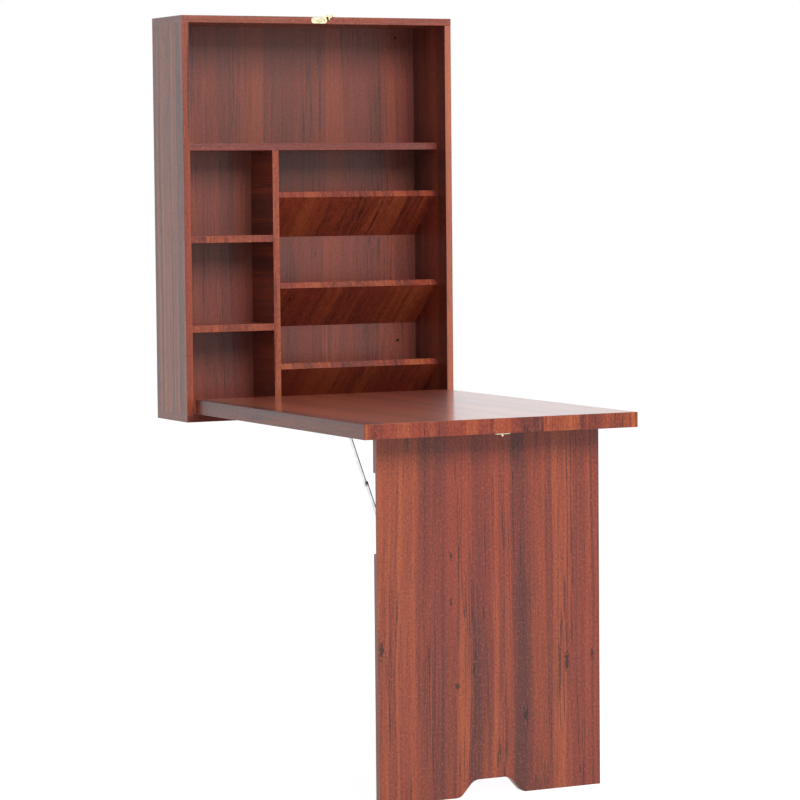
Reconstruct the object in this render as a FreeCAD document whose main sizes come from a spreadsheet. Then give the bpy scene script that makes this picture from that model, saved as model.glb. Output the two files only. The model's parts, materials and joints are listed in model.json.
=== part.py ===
"""Fold-down wall desk: a shallow wall cabinet whose front folds down as a desk on a folding leg.

Lengths are millimetres and angles degrees. X runs to the right, Y into the wall and Z up. The wall is the
plane Y = 0 and the origin is the middle of the four wall screw holes.
"""

import FreeCAD
import Part
import Sketcher
import os

SIZES = (
    ("cabinet_width", 630, "outside width of the cabinet"),
    ("cabinet_depth", 165, "outside depth of the cabinet"),
    ("cabinet_height", 852, "outside height of the cabinet"),
    ("board", 15, "thickness of the carcass boards, shelves and leg"),
    ("edge_round", 0.8, "rounding of the front edges of the boards"),
    ("back_thickness", 12, "thickness of the back board"),
    ("rabbet", 7, "how far the back board is let into the boards around it"),
    ("back_clearance", 0.5, "play around the back board in its rabbets"),
    ("shelf_setback", 40, "shelves and divider behind the cabinet front"),
    ("upper_shelf_height", 585, "upper face of the upper shelf above the cabinet base"),
    ("divider_offset", 87, "middle of the divider left of the cabinet middle"),
    ("cubby_high_height", 390, "upper face of the higher small shelf above the cabinet base"),
    ("cubby_low_height", 201, "upper face of the lower small shelf above the cabinet base"),
    ("pocket_setback", 56, "upper front corner of a magazine board behind the cabinet front"),
    ("pocket_high", 481, "upper front corner of the top magazine board above the cabinet base"),
    ("pocket_middle", 286.5, "the same corner of the middle magazine board"),
    ("pocket_low", 113, "the same corner of the bottom magazine board"),
    ("pocket_slope", 39, "slope of the magazine boards, falling to the back"),
    ("wall_screw_inset", 60, "wall screw holes from the sides of the cabinet"),
    ("wall_screw_low", 150, "lower wall screw holes above the cabinet base"),
    ("wall_screw_drop", 20, "upper wall screw holes below the top board"),
    ("wall_hole", 7, "diameter of the wall screw holes"),
    ("fix_front", 32, "front row of carcass screws behind the cabinet front"),
    ("fix_back", 56, "back row of carcass screws in front of the wall"),
    ("carcass_screw_length", 50, "length of a carcass screw"),
    ("carcass_screw_neck", 7, "diameter of the neck of a carcass screw"),
    ("carcass_screw_core", 5, "diameter of a carcass screw below its neck"),
    ("carcass_screw_head", 10, "diameter of the head of a carcass screw"),
    ("carcass_head_height", 3, "height of the head of a carcass screw"),
    ("dowel_length", 30, "length of a dowel"),
    ("dowel_diameter", 8, "diameter of a dowel"),
    ("dowel_face", 10, "dowel length in the board that it enters through a face"),
    ("dowel_end_gap", 0.5, "free space beyond each end of a dowel"),
    ("dowel_margin", 26, "dowels from the front and back edges of a shelf"),
    ("desk_thickness", 30, "thickness of the desk board"),
    ("desk_round", 1.5, "rounding of the desk board edges"),
    ("desk_side_gap", 2.5, "gap at each side of the closed desk"),
    ("desk_head_gap", 3, "gap above the closed desk"),
    ("desk_proud", 1.5, "closed desk in front of the cabinet front"),
    ("hinge_length", 60, "length of a hinge"),
    ("hinge_barrel", 5, "outside diameter of the hinge barrel"),
    ("hinge_pin", 2.6, "diameter of the hinge pin"),
    ("pin_play", 0.05, "play of a turning eye or knuckle around its pin"),
    ("knuckle_gap", 0.3, "gap between neighbouring knuckles"),
    ("hinge_clearance", 0.3, "air between a barrel and what it turns past"),
    ("leaf_thickness", 1.5, "thickness of a hinge leaf"),
    ("leaf_gap", 0.5, "gap between the folded leaves of a desk hinge"),
    ("leaf_width", 24, "reach of a leaf from the hinge axis"),
    ("leaf_screw_line", 14, "leaf screws from the hinge axis"),
    ("leaf_screw_pitch", 21, "distance between leaf screws"),
    ("desk_hinge_inset", 107.5, "middle of an outer desk hinge from the end of the desk"),
    ("leg_hinge_inset", 93, "middle of a leg hinge from the edge of the leg"),
    ("screw_diameter", 3.5, "diameter of a wood screw"),
    ("screw_head", 6.6, "head diameter of a wood screw"),
    ("screw_play", 0.1, "play of a screw in the metal that it holds"),
    ("screw_length", 14, "length of a hinge screw"),
    ("back_screw_length", 30, "length of a back board screw"),
    ("short_screw_length", 6, "length of a screw in the thin part of the leg"),
    ("small_screw", 3, "diameter of a latch screw"),
    ("small_screw_head", 5.4, "head diameter of a latch screw"),
    ("small_screw_length", 12, "length of a latch screw"),
    ("leg_width", 486, "width of the leg"),
    ("leg_height", 710.5, "underside of the desk above the floor"),
    ("leg_head_gap", 1.5, "gap between leg and desk"),
    ("leg_setback", 61, "leg behind the front end of the desk"),
    ("toe_height", 33, "height of the cut-out in the foot of the leg"),
    ("toe_top", 54, "flat width at the top of that cut-out"),
    ("toe_slope", 48, "slope of its sides"),
    ("toe_round_top", 26, "rounding of its upper corners"),
    ("toe_round_foot", 20, "rounding of its lower corners"),
    ("notch_start", 68, "stay notch below the top of the leg"),
    ("notch_width", 27, "width of the stay notch"),
    ("notch_depth", 9, "depth of the stay notch"),
    ("notch_clearance", 1.5, "air between the folded stay and the end of its notch"),
    ("stay_desk_reach", 106, "upper stay pivot from the leg hinge axis"),
    ("stay_leg_reach", 146, "lower stay pivot from the leg hinge axis"),
    ("stay_pivot_depth", 7.5, "stay pivots from the underside of the desk when folded"),
    ("stay_inset", 2.4, "stay from the edge of the leg"),
    ("link_width", 10, "width of a stay link"),
    ("link_thickness", 2, "thickness of a stay link or ear"),
    ("link_gap", 0.3, "gap between neighbouring links and ears"),
    ("rivet_shank", 4, "shank diameter of a rivet"),
    ("rivet_head", 7.6, "head diameter of a rivet"),
    ("rivet_head_height", 1.2, "height of a rivet head"),
    ("flush_head", 6.4, "head diameter of the flush rivet that the folded upper link lies over"),
    ("bracket_foot", 18, "width of the foot of a stay bracket"),
    ("bracket_length", 28, "length of the foot of a stay bracket"),
    ("bracket_screw_pitch", 16, "distance between bracket screws"),
    ("latch_plate_length", 37, "length of the latch plate"),
    ("latch_plate_width", 13, "width of the latch plate"),
    ("latch_plate_thickness", 1.2, "thickness of the latch and keeper plates"),
    ("latch_screw_pitch", 24, "distance between latch screws"),
    ("latch_reach", 18, "latch pivot to keeper stud"),
    ("latch_rest", 107, "swing of the hook from latched to open"),
    ("hook_thickness", 2, "thickness of the hook"),
    ("hook_air", 0.3, "air behind and in front of the hook"),
    ("hook_hub", 10, "diameter of the hub of the hook"),
    ("hook_ring", 13.4, "outside diameter of the ring of the hook"),
    ("hook_bar", 4.6, "width of the bar and of the knob stem"),
    ("knob_reach", 32, "latch pivot to knob"),
    ("knob_diameter", 6, "diameter of the knob"),
    ("knob_forward", 1.4, "knob in front of the middle of the hook"),
    ("latch_rivet_head", 8.4, "head diameter of the latch rivet"),
    ("latch_rivet_height", 1.6, "head height of the latch rivet"),
    ("keeper_length", 34, "length of the keeper plate"),
    ("keeper_width", 12, "width of the keeper plate"),
    ("keeper_screw_pitch", 23, "distance between keeper screws"),
    ("stud_neck", 4, "neck diameter of the keeper stud"),
    ("stud_play", 0.6, "play of the stud neck in the hook"),
    ("stud_head", 7.2, "head diameter of the keeper stud"),
    ("stud_head_height", 1.8, "head height of the keeper stud"),
)

# Places this close together count as one
SAME_PLACE = 0.01

doc = FreeCAD.newDocument("FoldDownWallDesk")
sheet = doc.addObject("Spreadsheet::Sheet", "Sizes")
for row, (alias, number, meaning) in enumerate(SIZES, start=1):
    sheet.set(f"A{row}", meaning)
    sheet.set(f"B{row}", str(number))
    sheet.setAlias(f"B{row}", alias)
doc.recompute()

# Levels and faces of the cabinet
HALF = "(Sizes.cabinet_width / 2)"
INNER = "(Sizes.cabinet_width / 2 - Sizes.board)"
FRONT = "(-Sizes.cabinet_depth)"
BACK = "(-Sizes.back_thickness)"
BASE = "(-(Sizes.wall_screw_low + Sizes.cabinet_height - Sizes.board - Sizes.wall_screw_drop) / 2)"
TOP = f"({BASE} + Sizes.cabinet_height)"
INSIDE_FLOOR = f"({BASE} + Sizes.board)"
INSIDE_TOP = f"({TOP} - Sizes.board)"
SHELF_FRONT = f"({FRONT} + Sizes.shelf_setback)"
UPPER_SHELF = f"({BASE} + Sizes.upper_shelf_height)"
DIVIDER_LEFT = "(-Sizes.divider_offset - Sizes.board / 2)"
DIVIDER_RIGHT = "(-Sizes.divider_offset + Sizes.board / 2)"
POCKET_FRONT = f"({FRONT} + Sizes.pocket_setback)"

# Hinge axis of the desk, and the desk folded down on its leg
DESK_LEAF = "(Sizes.leaf_thickness + Sizes.leaf_gap / 2)"
BARREL_ROOM = "(Sizes.hinge_barrel / 2 + Sizes.hinge_clearance)"
DESK_AXIS_Y = f"({FRONT} - {BARREL_ROOM})"
DESK_AXIS_Z = f"({INSIDE_FLOOR} + {DESK_LEAF})"
DESK_BACK = f"({DESK_AXIS_Y} - {DESK_LEAF})"
DESK_UNDER = f"({DESK_AXIS_Z} + {BARREL_ROOM} - Sizes.desk_proud)"
DESK_LENGTH = f"(Sizes.cabinet_height - 2 * Sizes.board - 2 * {DESK_LEAF} - Sizes.desk_head_gap)"
DESK_FRONT = f"({DESK_BACK} - {DESK_LENGTH})"
DESK_HALF = f"({INNER} - Sizes.desk_side_gap)"

# Hinge axis of the leg, and the leg standing under the desk
LEG_FRONT = f"({DESK_FRONT} + Sizes.leg_setback)"
LEG_BACK = f"({LEG_FRONT} + Sizes.board)"
LEG_AXIS_Y = f"({LEG_BACK} + {BARREL_ROOM})"
LEG_AXIS_Z = f"({DESK_UNDER} - {BARREL_ROOM})"
LEG_TOP = f"({DESK_UNDER} - Sizes.leg_head_gap)"
LEG_LENGTH = "(Sizes.leg_height - Sizes.leg_head_gap)"
LEG_HALF = "(Sizes.leg_width / 2)"
NOTCH_FLOOR = f"({LEG_BACK} - Sizes.notch_depth)"

# Folding stays, straight when the leg stands and folded double when it lies under the desk
STAY_SHIFT = f"(Sizes.stay_pivot_depth - {BARREL_ROOM})"
STAY_RUN = f"(Sizes.stay_desk_reach + {STAY_SHIFT})"
STAY_RISE = f"(Sizes.stay_leg_reach - {STAY_SHIFT})"
STAY_SPAN = f"sqrt({STAY_RUN}^2 + {STAY_RISE}^2)"
UPPER_LINK = f"(({STAY_SPAN} + Sizes.stay_leg_reach - Sizes.stay_desk_reach) / 2)"
LOWER_LINK = f"(({STAY_SPAN} - Sizes.stay_leg_reach + Sizes.stay_desk_reach) / 2)"
STAY_ANGLE = f"atan2({STAY_RISE}; {STAY_RUN})"
DESK_PIVOT_Y = f"({LEG_AXIS_Y} + Sizes.stay_desk_reach)"
DESK_PIVOT_Z = f"({DESK_UNDER} - Sizes.stay_pivot_depth)"
LEG_PIVOT_Y = f"({LEG_AXIS_Y} - {STAY_SHIFT})"
LEG_PIVOT_Z = f"({LEG_AXIS_Z} - Sizes.stay_leg_reach)"
NOTCH_END = (
    f"({LEG_TOP} - {LEG_AXIS_Z} + Sizes.stay_desk_reach + {UPPER_LINK}"
    " + Sizes.link_width / 2 + Sizes.notch_clearance)"
)

# Latch on the top board and its keeper under the front end of the desk
LATCH_Z = f"({TOP} - Sizes.board / 2)"
CLOSED_FACE = f"({FRONT} - Sizes.desk_proud)"
HOOK_BACK = f"({CLOSED_FACE} - Sizes.latch_plate_thickness - Sizes.hook_air)"
HOOK_FRONT = f"({HOOK_BACK} - Sizes.hook_thickness)"
KEEPER_Y = f"({DESK_FRONT} + {LATCH_Z} * -1 + Sizes.latch_reach + {INSIDE_TOP} - Sizes.desk_head_gap)"
STUD_NECK_LENGTH = "(Sizes.hook_thickness + 2 * Sizes.hook_air)"

WAYS = {
    "+X": (1, 0, 0),
    "-X": (-1, 0, 0),
    "+Y": (0, 1, 0),
    "-Y": (0, -1, 0),
    "+Z": (0, 0, 1),
    "-Z": (0, 0, -1),
}
TURNS = {
    "+X": "rotation(vector(0; 1; 0); 90)",
    "-X": "rotation(vector(0; 1; 0); -90)",
    "+Y": "rotation(vector(1; 0; 0); -90)",
    "-Y": "rotation(vector(1; 0; 0); 90)",
    "+Z": "rotation(vector(1; 0; 0); 0)",
    "-Z": "rotation(vector(1; 0; 0); 180)",
}
SIDES = {"left": -1, "right": 1}
nodes = {}


def value(expression):
    """Number that an expression of the sheet stands for."""
    found = sheet.evalExpression(expression)
    return float(getattr(found, "Value", found))


def along(place, distance):
    """Place moved along its own way; a place is X, Y, Z and the way that a hole or screw runs."""
    way = place[3]
    moved = []
    for coordinate, step in zip(place[:3], WAYS[way]):
        moved.append(f"({coordinate} + {step} * ({distance}))" if step else coordinate)
    return (*moved, way)


def put(piece, place):
    """Stands a piece at a place, with its own Z axis along the way of the place."""
    x, y, z, way = place
    piece.setExpression("Placement", f"placement(vector({x}; {y}; {z}); {TURNS[way]})")


def block(label, low, high):
    """Straight-sided block between two corners."""
    piece = doc.addObject("Part::Box", label)
    for size, start, end in zip(("Length", "Width", "Height"), low, high):
        piece.setExpression(size, f"({end}) - ({start})")
    put(piece, (*low, "+Z"))
    return piece


def rod(label, place, diameter, length):
    """Round rod or bore that starts at a place."""
    piece = doc.addObject("Part::Cylinder", label)
    piece.setExpression("Radius", f"({diameter}) / 2")
    piece.setExpression("Height", length)
    put(piece, place)
    return piece


def taper(label, place, start, end, length):
    """Round taper between two diameters that starts at a place."""
    piece = doc.addObject("Part::Cone", label)
    piece.setExpression("Radius1", f"({start}) / 2")
    piece.setExpression("Radius2", f"({end}) / 2")
    piece.setExpression("Height", length)
    put(piece, place)
    return piece


def fuse(label, pieces):
    """One solid made of several pieces."""
    whole = doc.addObject("Part::MultiFuse", label)
    whole.Shapes = pieces
    return whole


def cut(label, base, tools):
    """Base with holes or recesses."""
    tool = tools[0] if len(tools) == 1 else fuse(f"{label}_tool", tools)
    rest = doc.addObject("Part::Cut", label)
    rest.Base = base
    rest.Tool = tool
    return rest


def soften(label, base, radius, choose):
    """Base with the chosen edges rounded."""
    doc.recompute()
    rounded = doc.addObject("Part::Fillet", label)
    rounded.Base = base
    amount = value(radius)
    chosen = [n for n, edge in enumerate(base.Shape.Edges, start=1) if choose(edge.BoundBox)]
    rounded.Edges = [(n, amount, amount) for n in chosen]
    return rounded


def shelf_board(label, low, high):
    """Board with a rounded front edge."""
    blank = block(f"{label}_blank", low, high)
    front = value(low[1])
    return soften(f"{label}_board", blank, "Sizes.edge_round", lambda box: box.YMax < front + SAME_PLACE)


def group(label, master, places):
    """Identical fasteners as separate solids, each standing at its own place."""
    doc.recompute()
    copies = []
    for x, y, z, way in places:
        turn = FreeCAD.Rotation(FreeCAD.Vector(0, 0, 1), FreeCAD.Vector(*WAYS[way]))
        spot = FreeCAD.Vector(value(x), value(y), value(z))
        copy = master.Shape.copy()
        copy.Placement = FreeCAD.Placement(spot, turn)
        copies.append(copy)
    piece = doc.addObject("Part::Feature", label)
    piece.Shape = Part.makeCompound(copies)
    nodes[label] = piece


def origin_plane(body, role):
    """Origin plane of a body."""
    return next(plane for plane in body.Origin.OriginFeatures if plane.Role == role)


def sketch_on(body, label, role):
    """Empty sketch on an origin plane of a body."""
    sketch = body.newObject("Sketcher::SketchObject", label)
    sketch.AttachmentSupport = (origin_plane(body, role), [""])
    sketch.MapMode = "FlatFace"
    return sketch


def fix(sketch, name, expression, kind, *where):
    """Dimension of a sketch that follows an expression."""
    index = sketch.addConstraint(Sketcher.Constraint(kind, *where, value(expression)))
    sketch.renameConstraint(index, name)
    sketch.setExpression(f"Constraints.{name}", expression)


def tie(sketch, kind, *where):
    """Relation between parts of a sketch."""
    sketch.addConstraint(Sketcher.Constraint(kind, *where))


def polygon(sketch, corners):
    """Closed chain of lines through corners; returns the number of its first line."""
    first = sketch.GeometryCount
    points = [FreeCAD.Vector(x, y, 0) for x, y in corners]
    for start, end in zip(points, points[1:] + points[:1]):
        sketch.addGeometry(Part.LineSegment(start, end))
    count = len(points)
    for n in range(count):
        tie(sketch, "Coincident", first + n, 2, first + (n + 1) % count, 1)
    return first


def rounded_bar(sketch, length, width):
    """Bar with round ends; the first end is round about the origin, the second lies along the first axis."""
    reach = value(length)
    half = value(width) / 2
    side = FreeCAD.Vector(0, half, 0)
    far = FreeCAD.Vector(reach, 0, 0)
    near = FreeCAD.Vector(0, 0, 0)
    up = FreeCAD.Vector(0, 0, 1)
    quarter = 1.5707963267948966
    sketch.addGeometry(Part.LineSegment(near - side, far - side))
    sketch.addGeometry(Part.ArcOfCircle(Part.Circle(far, up, half), -quarter, quarter))
    sketch.addGeometry(Part.LineSegment(far + side, near + side))
    sketch.addGeometry(Part.ArcOfCircle(Part.Circle(near, up, half), quarter, 3 * quarter))
    tie(sketch, "Tangent", 0, 2, 1, 1)
    tie(sketch, "Tangent", 1, 2, 2, 1)
    tie(sketch, "Tangent", 2, 2, 3, 1)
    tie(sketch, "Tangent", 3, 2, 0, 1)
    tie(sketch, "Coincident", 3, 3, -1, 1)
    tie(sketch, "PointOnObject", 1, 3, -1)
    fix(sketch, "reach", length, "DistanceX", 3, 3, 1, 3)
    fix(sketch, "end_radius", f"{width} / 2", "Radius", 1)


def pad(body, label, sketch, length):
    """Sketch raised to a solid."""
    feature = body.newObject("PartDesign::Pad", label)
    feature.Profile = sketch
    feature.setExpression("Length", length)
    body.Tip = feature
    return feature


def flat_bar(label, plane, length, width, thickness, placement):
    """Flat bar with round ends, in its own body."""
    body = doc.addObject("PartDesign::Body", label)
    outline = sketch_on(body, f"{label}_outline", plane)
    rounded_bar(outline, length, width)
    pad(body, f"{label}_pad", outline, thickness)
    body.setExpression("Placement", placement)
    return body


# Fasteners
def cross_screw(label, diameter, head, length):
    """Countersunk wood screw with a cross recess, its head at the origin and its point up the Z axis."""
    here = ("0", "0", "0", "+Z")
    sink = f"(({head} - {diameter}) / 2)"
    point = f"({diameter} * 0.8)"
    shank_length = f"({length} - {sink} - {point})"
    cone = taper(f"{label}_head", here, head, diameter, sink)
    shank = rod(f"{label}_shank", along(here, sink), diameter, shank_length)
    tip_place = along(here, f"{length} - {point}")
    tip = taper(f"{label}_tip", tip_place, diameter, "0.6", point)
    solid = fuse(f"{label}_solid", [cone, shank, tip])
    arm = f"({head} * 0.3)"
    wing = f"({diameter} * 0.12)"
    deep = f"({sink} * 0.6)"
    along_x = block(f"{label}_slot_x", (f"-{arm}", f"-{wing}", "-1"), (arm, wing, deep))
    along_y = block(f"{label}_slot_y", (f"-{wing}", f"-{arm}", "-1"), (wing, arm, deep))
    return cut(label, solid, [along_x, along_y])


def sunk_hole(label, place, diameter, head):
    """Countersunk hole for a wood screw through a metal plate, from the head side."""
    wide = f"({head} + 2 * Sizes.screw_play)"
    narrow = f"({diameter} + 2 * Sizes.screw_play)"
    return taper(label, place, wide, narrow, f"(({head} - {diameter}) / 2)")


start = ("0", "0", "0", "+Z")
neck = "Sizes.carcass_screw_neck"
core_start = "(Sizes.board)"
carcass_parts = [
    rod("carcass_screw_top", start, "Sizes.carcass_screw_head", "Sizes.carcass_head_height"),
    rod("carcass_screw_collar", start, neck, core_start),
    rod("carcass_screw_stem", start, "Sizes.carcass_screw_core", "Sizes.carcass_screw_length"),
]
carcass_solid = fuse("carcass_screw_solid", carcass_parts)
hexagon = doc.addObject("Part::Prism", "carcass_screw_socket")
hexagon.Polygon = 6
hexagon.setExpression("Circumradius", "Sizes.carcass_screw_core * 0.45")
hexagon.setExpression("Height", "Sizes.carcass_head_height * 0.8")
carcass_screw = cut("carcass_screw", carcass_solid, [hexagon])
dowel = rod("dowel", start, "Sizes.dowel_diameter", "Sizes.dowel_length")
wood = ("Sizes.screw_diameter", "Sizes.screw_head")
small = ("Sizes.small_screw", "Sizes.small_screw_head")
hinge_screw = cross_screw("hinge_screw", *wood, "Sizes.screw_length")
back_screw = cross_screw("back_screw", *wood, "Sizes.back_screw_length")
short_screw = cross_screw("short_screw", *wood, "Sizes.short_screw_length")
latch_screw = cross_screw("latch_screw", *small, "Sizes.small_screw_length")

# Places of the carcass fasteners
fix_rows = (f"({FRONT} + Sizes.fix_front)", "(-Sizes.fix_back)")
side_middle = f"({INNER} + Sizes.board / 2)"
top_fixings = {s: [(f"({n} * {side_middle})", y, TOP, "-Z") for y in fix_rows] for s, n in SIDES.items()}
base_fixings = {s: [(f"({n} * {side_middle})", y, BASE, "+Z") for y in fix_rows] for s, n in SIDES.items()}
shelf_rows = (f"({SHELF_FRONT} + Sizes.dowel_margin)", f"({BACK} - Sizes.dowel_margin)")
divider_x = "(-Sizes.divider_offset)"
divider_rows = (shelf_rows[0], f"({BACK} - 2 * Sizes.dowel_margin)")
divider_fixings = [(divider_x, y, BASE, "+Z") for y in divider_rows]
upper_middle = f"({UPPER_SHELF} - Sizes.board / 2)"
cubby_heights = ("cubby_high_height", "cubby_low_height")
cubby_levels = [f"({BASE} + Sizes.{name} - Sizes.board / 2)" for name in cubby_heights]
upper_left_dowels = [(f"(-{INNER})", y, upper_middle, "+X") for y in shelf_rows]
upper_right_dowels = [(INNER, y, upper_middle, "-X") for y in shelf_rows]
shelf_under = f"({UPPER_SHELF} - Sizes.board)"
divider_top_dowels = [(divider_x, y, shelf_under, "-Z") for y in shelf_rows]
cubby_left_dowels = [(f"(-{INNER})", y, z, "+X") for z in cubby_levels for y in shelf_rows]
cubby_right_dowels = [(DIVIDER_LEFT, y, z, "-X") for z in cubby_levels for y in shelf_rows]
pocket_names = ("pocket_high", "pocket_middle", "pocket_low")
pocket_run = f"({BACK} - {POCKET_FRONT})"
slope_length = f"({pocket_run} / cos(Sizes.pocket_slope))"


def on_pocket(name, distance):
    """Y and Z of a point in the middle of a magazine board, at a distance down its slope."""
    back = f"(({distance}) * cos(Sizes.pocket_slope) - Sizes.board / 2 * sin(Sizes.pocket_slope))"
    drop = f"(({distance}) * sin(Sizes.pocket_slope) + Sizes.board / 2 * cos(Sizes.pocket_slope))"
    return f"({POCKET_FRONT} + {back})", f"({BASE} + Sizes.{name} - {drop})"


pocket_spots = {
    name: [on_pocket(name, "Sizes.dowel_margin"), on_pocket(name, f"{slope_length} - Sizes.dowel_margin")]
    for name in pocket_names
}
pocket_left_dowels = {n: [(DIVIDER_RIGHT, y, z, "+X") for y, z in spots] for n, spots in pocket_spots.items()}
pocket_right_dowels = {n: [(INNER, y, z, "-X") for y, z in spots] for n, spots in pocket_spots.items()}
back_levels = [f"({BASE} + Sizes.cabinet_height * {part})" for part in (0.12, 0.37, 0.63, 0.88)]
rabbet_middle = f"({INNER} + Sizes.rabbet / 2)"
back_side_screws = {
    side: [(f"({sign} * {rabbet_middle})", "0", z, "-Y") for z in back_levels]
    for side, sign in SIDES.items()
}
back_columns = [f"({part} * {INNER})" for part in (-0.5, 0.5)]
back_top_screws = [(x, "0", f"({INSIDE_TOP} + Sizes.rabbet / 2)", "-Y") for x in back_columns]
back_base_screws = [(x, "0", f"({INSIDE_FLOOR} - Sizes.rabbet / 2)", "-Y") for x in back_columns]
back_shelf_screws = [(x, "0", upper_middle, "-Y") for x in back_columns]
back_screws = [*back_side_screws["left"], *back_side_screws["right"], *back_top_screws, *back_base_screws]
back_screws += back_shelf_screws
wall_top = f"({INSIDE_TOP} - Sizes.wall_screw_drop)"
wall_levels = (f"({BASE} + Sizes.wall_screw_low)", wall_top)
wall_columns = [f"({sign} * ({HALF} - Sizes.wall_screw_inset))" for sign in SIDES.values()]
wall_places = [(x, "0", z, "-Y") for z in wall_levels for x in wall_columns]


def neck_holes(label, places):
    """Stepped holes of carcass screws through the board under their heads."""
    holes = [rod(f"{label}_neck", place, neck, "Sizes.board") for place in places]
    for place in places:
        holes.append(rod(f"{label}_sink", place, "Sizes.carcass_screw_head", "Sizes.carcass_head_height"))
    return holes


def core_holes(label, places):
    """Holes of carcass screws in the end of the second board."""
    depth = "(Sizes.carcass_screw_length - Sizes.board)"
    core = "Sizes.carcass_screw_core"
    return [rod(f"{label}_core", along(place, "Sizes.board"), core, depth) for place in places]


def dowel_holes(label, places, in_face):
    """Dowel holes in the face of one board or the end of the other."""
    face = "(Sizes.dowel_face + Sizes.dowel_end_gap)"
    end = "(Sizes.dowel_length - Sizes.dowel_face + Sizes.dowel_end_gap)"
    first = f"(-{face})" if in_face else "0"
    deep = face if in_face else end
    return [rod(f"{label}_dowel", along(place, first), "Sizes.dowel_diameter", deep) for place in places]


def screw_holes(label, places, covered, length, diameter="Sizes.screw_diameter"):
    """Holes of wood screws in a board, below the plate or board that covers it."""
    deep = f"({length} - {covered})"
    return [rod(f"{label}_screw", along(place, covered), diameter, deep) for place in places]


def back_holes(label, places):
    """Holes of the back board screws in the board in front of it."""
    return screw_holes(label, places, "Sizes.back_thickness", "Sizes.back_screw_length")


# Desk hinges: places of their leaves and screws
hinge_half = "(Sizes.hinge_length / 2)"
third = "(Sizes.hinge_length / 6)"
gap_half = "(Sizes.knuckle_gap / 2)"
outer_hinge = f"({DESK_HALF} - Sizes.desk_hinge_inset)"
desk_hinges = {"left": f"(-{outer_hinge})", "centre": "0", "right": outer_hinge}
leg_hinges = {side: f"({sign} * ({LEG_HALF} - Sizes.leg_hinge_inset))" for side, sign in SIDES.items()}
screw_steps = ("(-Sizes.leaf_screw_pitch)", "0", "Sizes.leaf_screw_pitch")


def leaf_screws(middles, y, z, way):
    """Places of the screws of each leaf of a row of hinges."""
    return {side: [(f"({x} + {step})", y, z, way) for step in screw_steps] for side, x in middles.items()}


def flat(places):
    """All places of a row of hinges or sides in one list."""
    return [place for side in places.values() for place in side]


cabinet_leaf_screws = leaf_screws(
    desk_hinges, f"({DESK_AXIS_Y} + Sizes.leaf_screw_line)", f"({INSIDE_FLOOR} + Sizes.leaf_thickness)", "-Z"
)
desk_leaf_screws = leaf_screws(
    desk_hinges, f"({DESK_BACK} + Sizes.leaf_thickness)", f"({DESK_AXIS_Z} + Sizes.leaf_screw_line)", "-Y"
)
under_leaf_screws = leaf_screws(
    leg_hinges, f"({LEG_AXIS_Y} + Sizes.leaf_screw_line)", f"({DESK_UNDER} - Sizes.leaf_thickness)", "+Z"
)
leg_leaf_screws = leaf_screws(
    leg_hinges, f"({LEG_BACK} + Sizes.leaf_thickness)", f"({LEG_AXIS_Z} - Sizes.leaf_screw_line)", "-Y"
)


def knuckles(label, axis, middle, outer, diameter, grow):
    """Barrel sections of a hinge: the outer thirds or the middle one, longer by grow at each free face."""
    y, z = axis
    if outer:
        inner_end = f"({third} + {gap_half} - {grow})"
        spans = ((f"(-{hinge_half})", f"(-{inner_end})"), (inner_end, hinge_half))
    else:
        middle_end = f"({third} - {gap_half} + {grow})"
        spans = ((f"(-{middle_end})", middle_end),)
    pieces = []
    for low, high in spans:
        pieces.append(rod(label, (f"({middle} + {low})", y, z, "+X"), diameter, f"({high} - {low})"))
    return pieces


def leaf(label, middle, axis, plate, outer, screws):
    """Hinge leaf: plate and knuckles, bored for the pin and countersunk for its screws."""
    low = (f"({middle} - {hinge_half})", *plate[0])
    high = (f"({middle} + {hinge_half})", *plate[1])
    sheet_metal = block(f"{label}_plate", low, high)
    wide = f"(2 * {BARREL_ROOM})"
    room = knuckles(f"{label}_room", axis, middle, not outer, wide, "Sizes.knuckle_gap")
    trimmed = cut(f"{label}_trimmed", sheet_metal, room)
    barrel = knuckles(f"{label}_barrel", axis, middle, outer, "Sizes.hinge_barrel", "0")
    solid = fuse(f"{label}_solid", [trimmed, *barrel])
    bore = "Sizes.hinge_pin" if outer else "(Sizes.hinge_pin + 2 * Sizes.pin_play)"
    place = (f"({middle} - {hinge_half})", *axis, "+X")
    holes = [rod(f"{label}_bore", place, bore, "Sizes.hinge_length")]
    for screw in screws:
        holes.append(sunk_hole(f"{label}_sink", screw, *wood))
    nodes[label] = cut(label, solid, holes)


desk_axis = (DESK_AXIS_Y, DESK_AXIS_Z)
leg_axis = (LEG_AXIS_Y, LEG_AXIS_Z)
for side, x in desk_hinges.items():
    leaf_back = f"({DESK_AXIS_Y} + Sizes.leaf_width)"
    leaf_top = f"({DESK_AXIS_Z} + Sizes.leaf_width)"
    on_base = ((DESK_AXIS_Y, INSIDE_FLOOR), (leaf_back, f"({INSIDE_FLOOR} + Sizes.leaf_thickness)"))
    on_desk = ((DESK_BACK, DESK_AXIS_Z), (f"({DESK_BACK} + Sizes.leaf_thickness)", leaf_top))
    leaf(f"desk_hinge_{side}_fixed_leaf", x, desk_axis, on_base, True, cabinet_leaf_screws[side])
    leaf(f"desk_hinge_{side}_moving_leaf", x, desk_axis, on_desk, False, desk_leaf_screws[side])
for side, x in leg_hinges.items():
    leaf_back = f"({LEG_AXIS_Y} + Sizes.leaf_width)"
    leaf_end = f"({LEG_AXIS_Z} - Sizes.leaf_width)"
    under_desk = ((LEG_AXIS_Y, f"({DESK_UNDER} - Sizes.leaf_thickness)"), (leaf_back, DESK_UNDER))
    on_leg = ((LEG_BACK, leaf_end), (f"({LEG_BACK} + Sizes.leaf_thickness)", LEG_AXIS_Z))
    leaf(f"leg_hinge_{side}_desk_leaf", x, leg_axis, under_desk, True, under_leaf_screws[side])
    leaf(f"leg_hinge_{side}_leg_leaf", x, leg_axis, on_leg, False, leg_leaf_screws[side])
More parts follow.
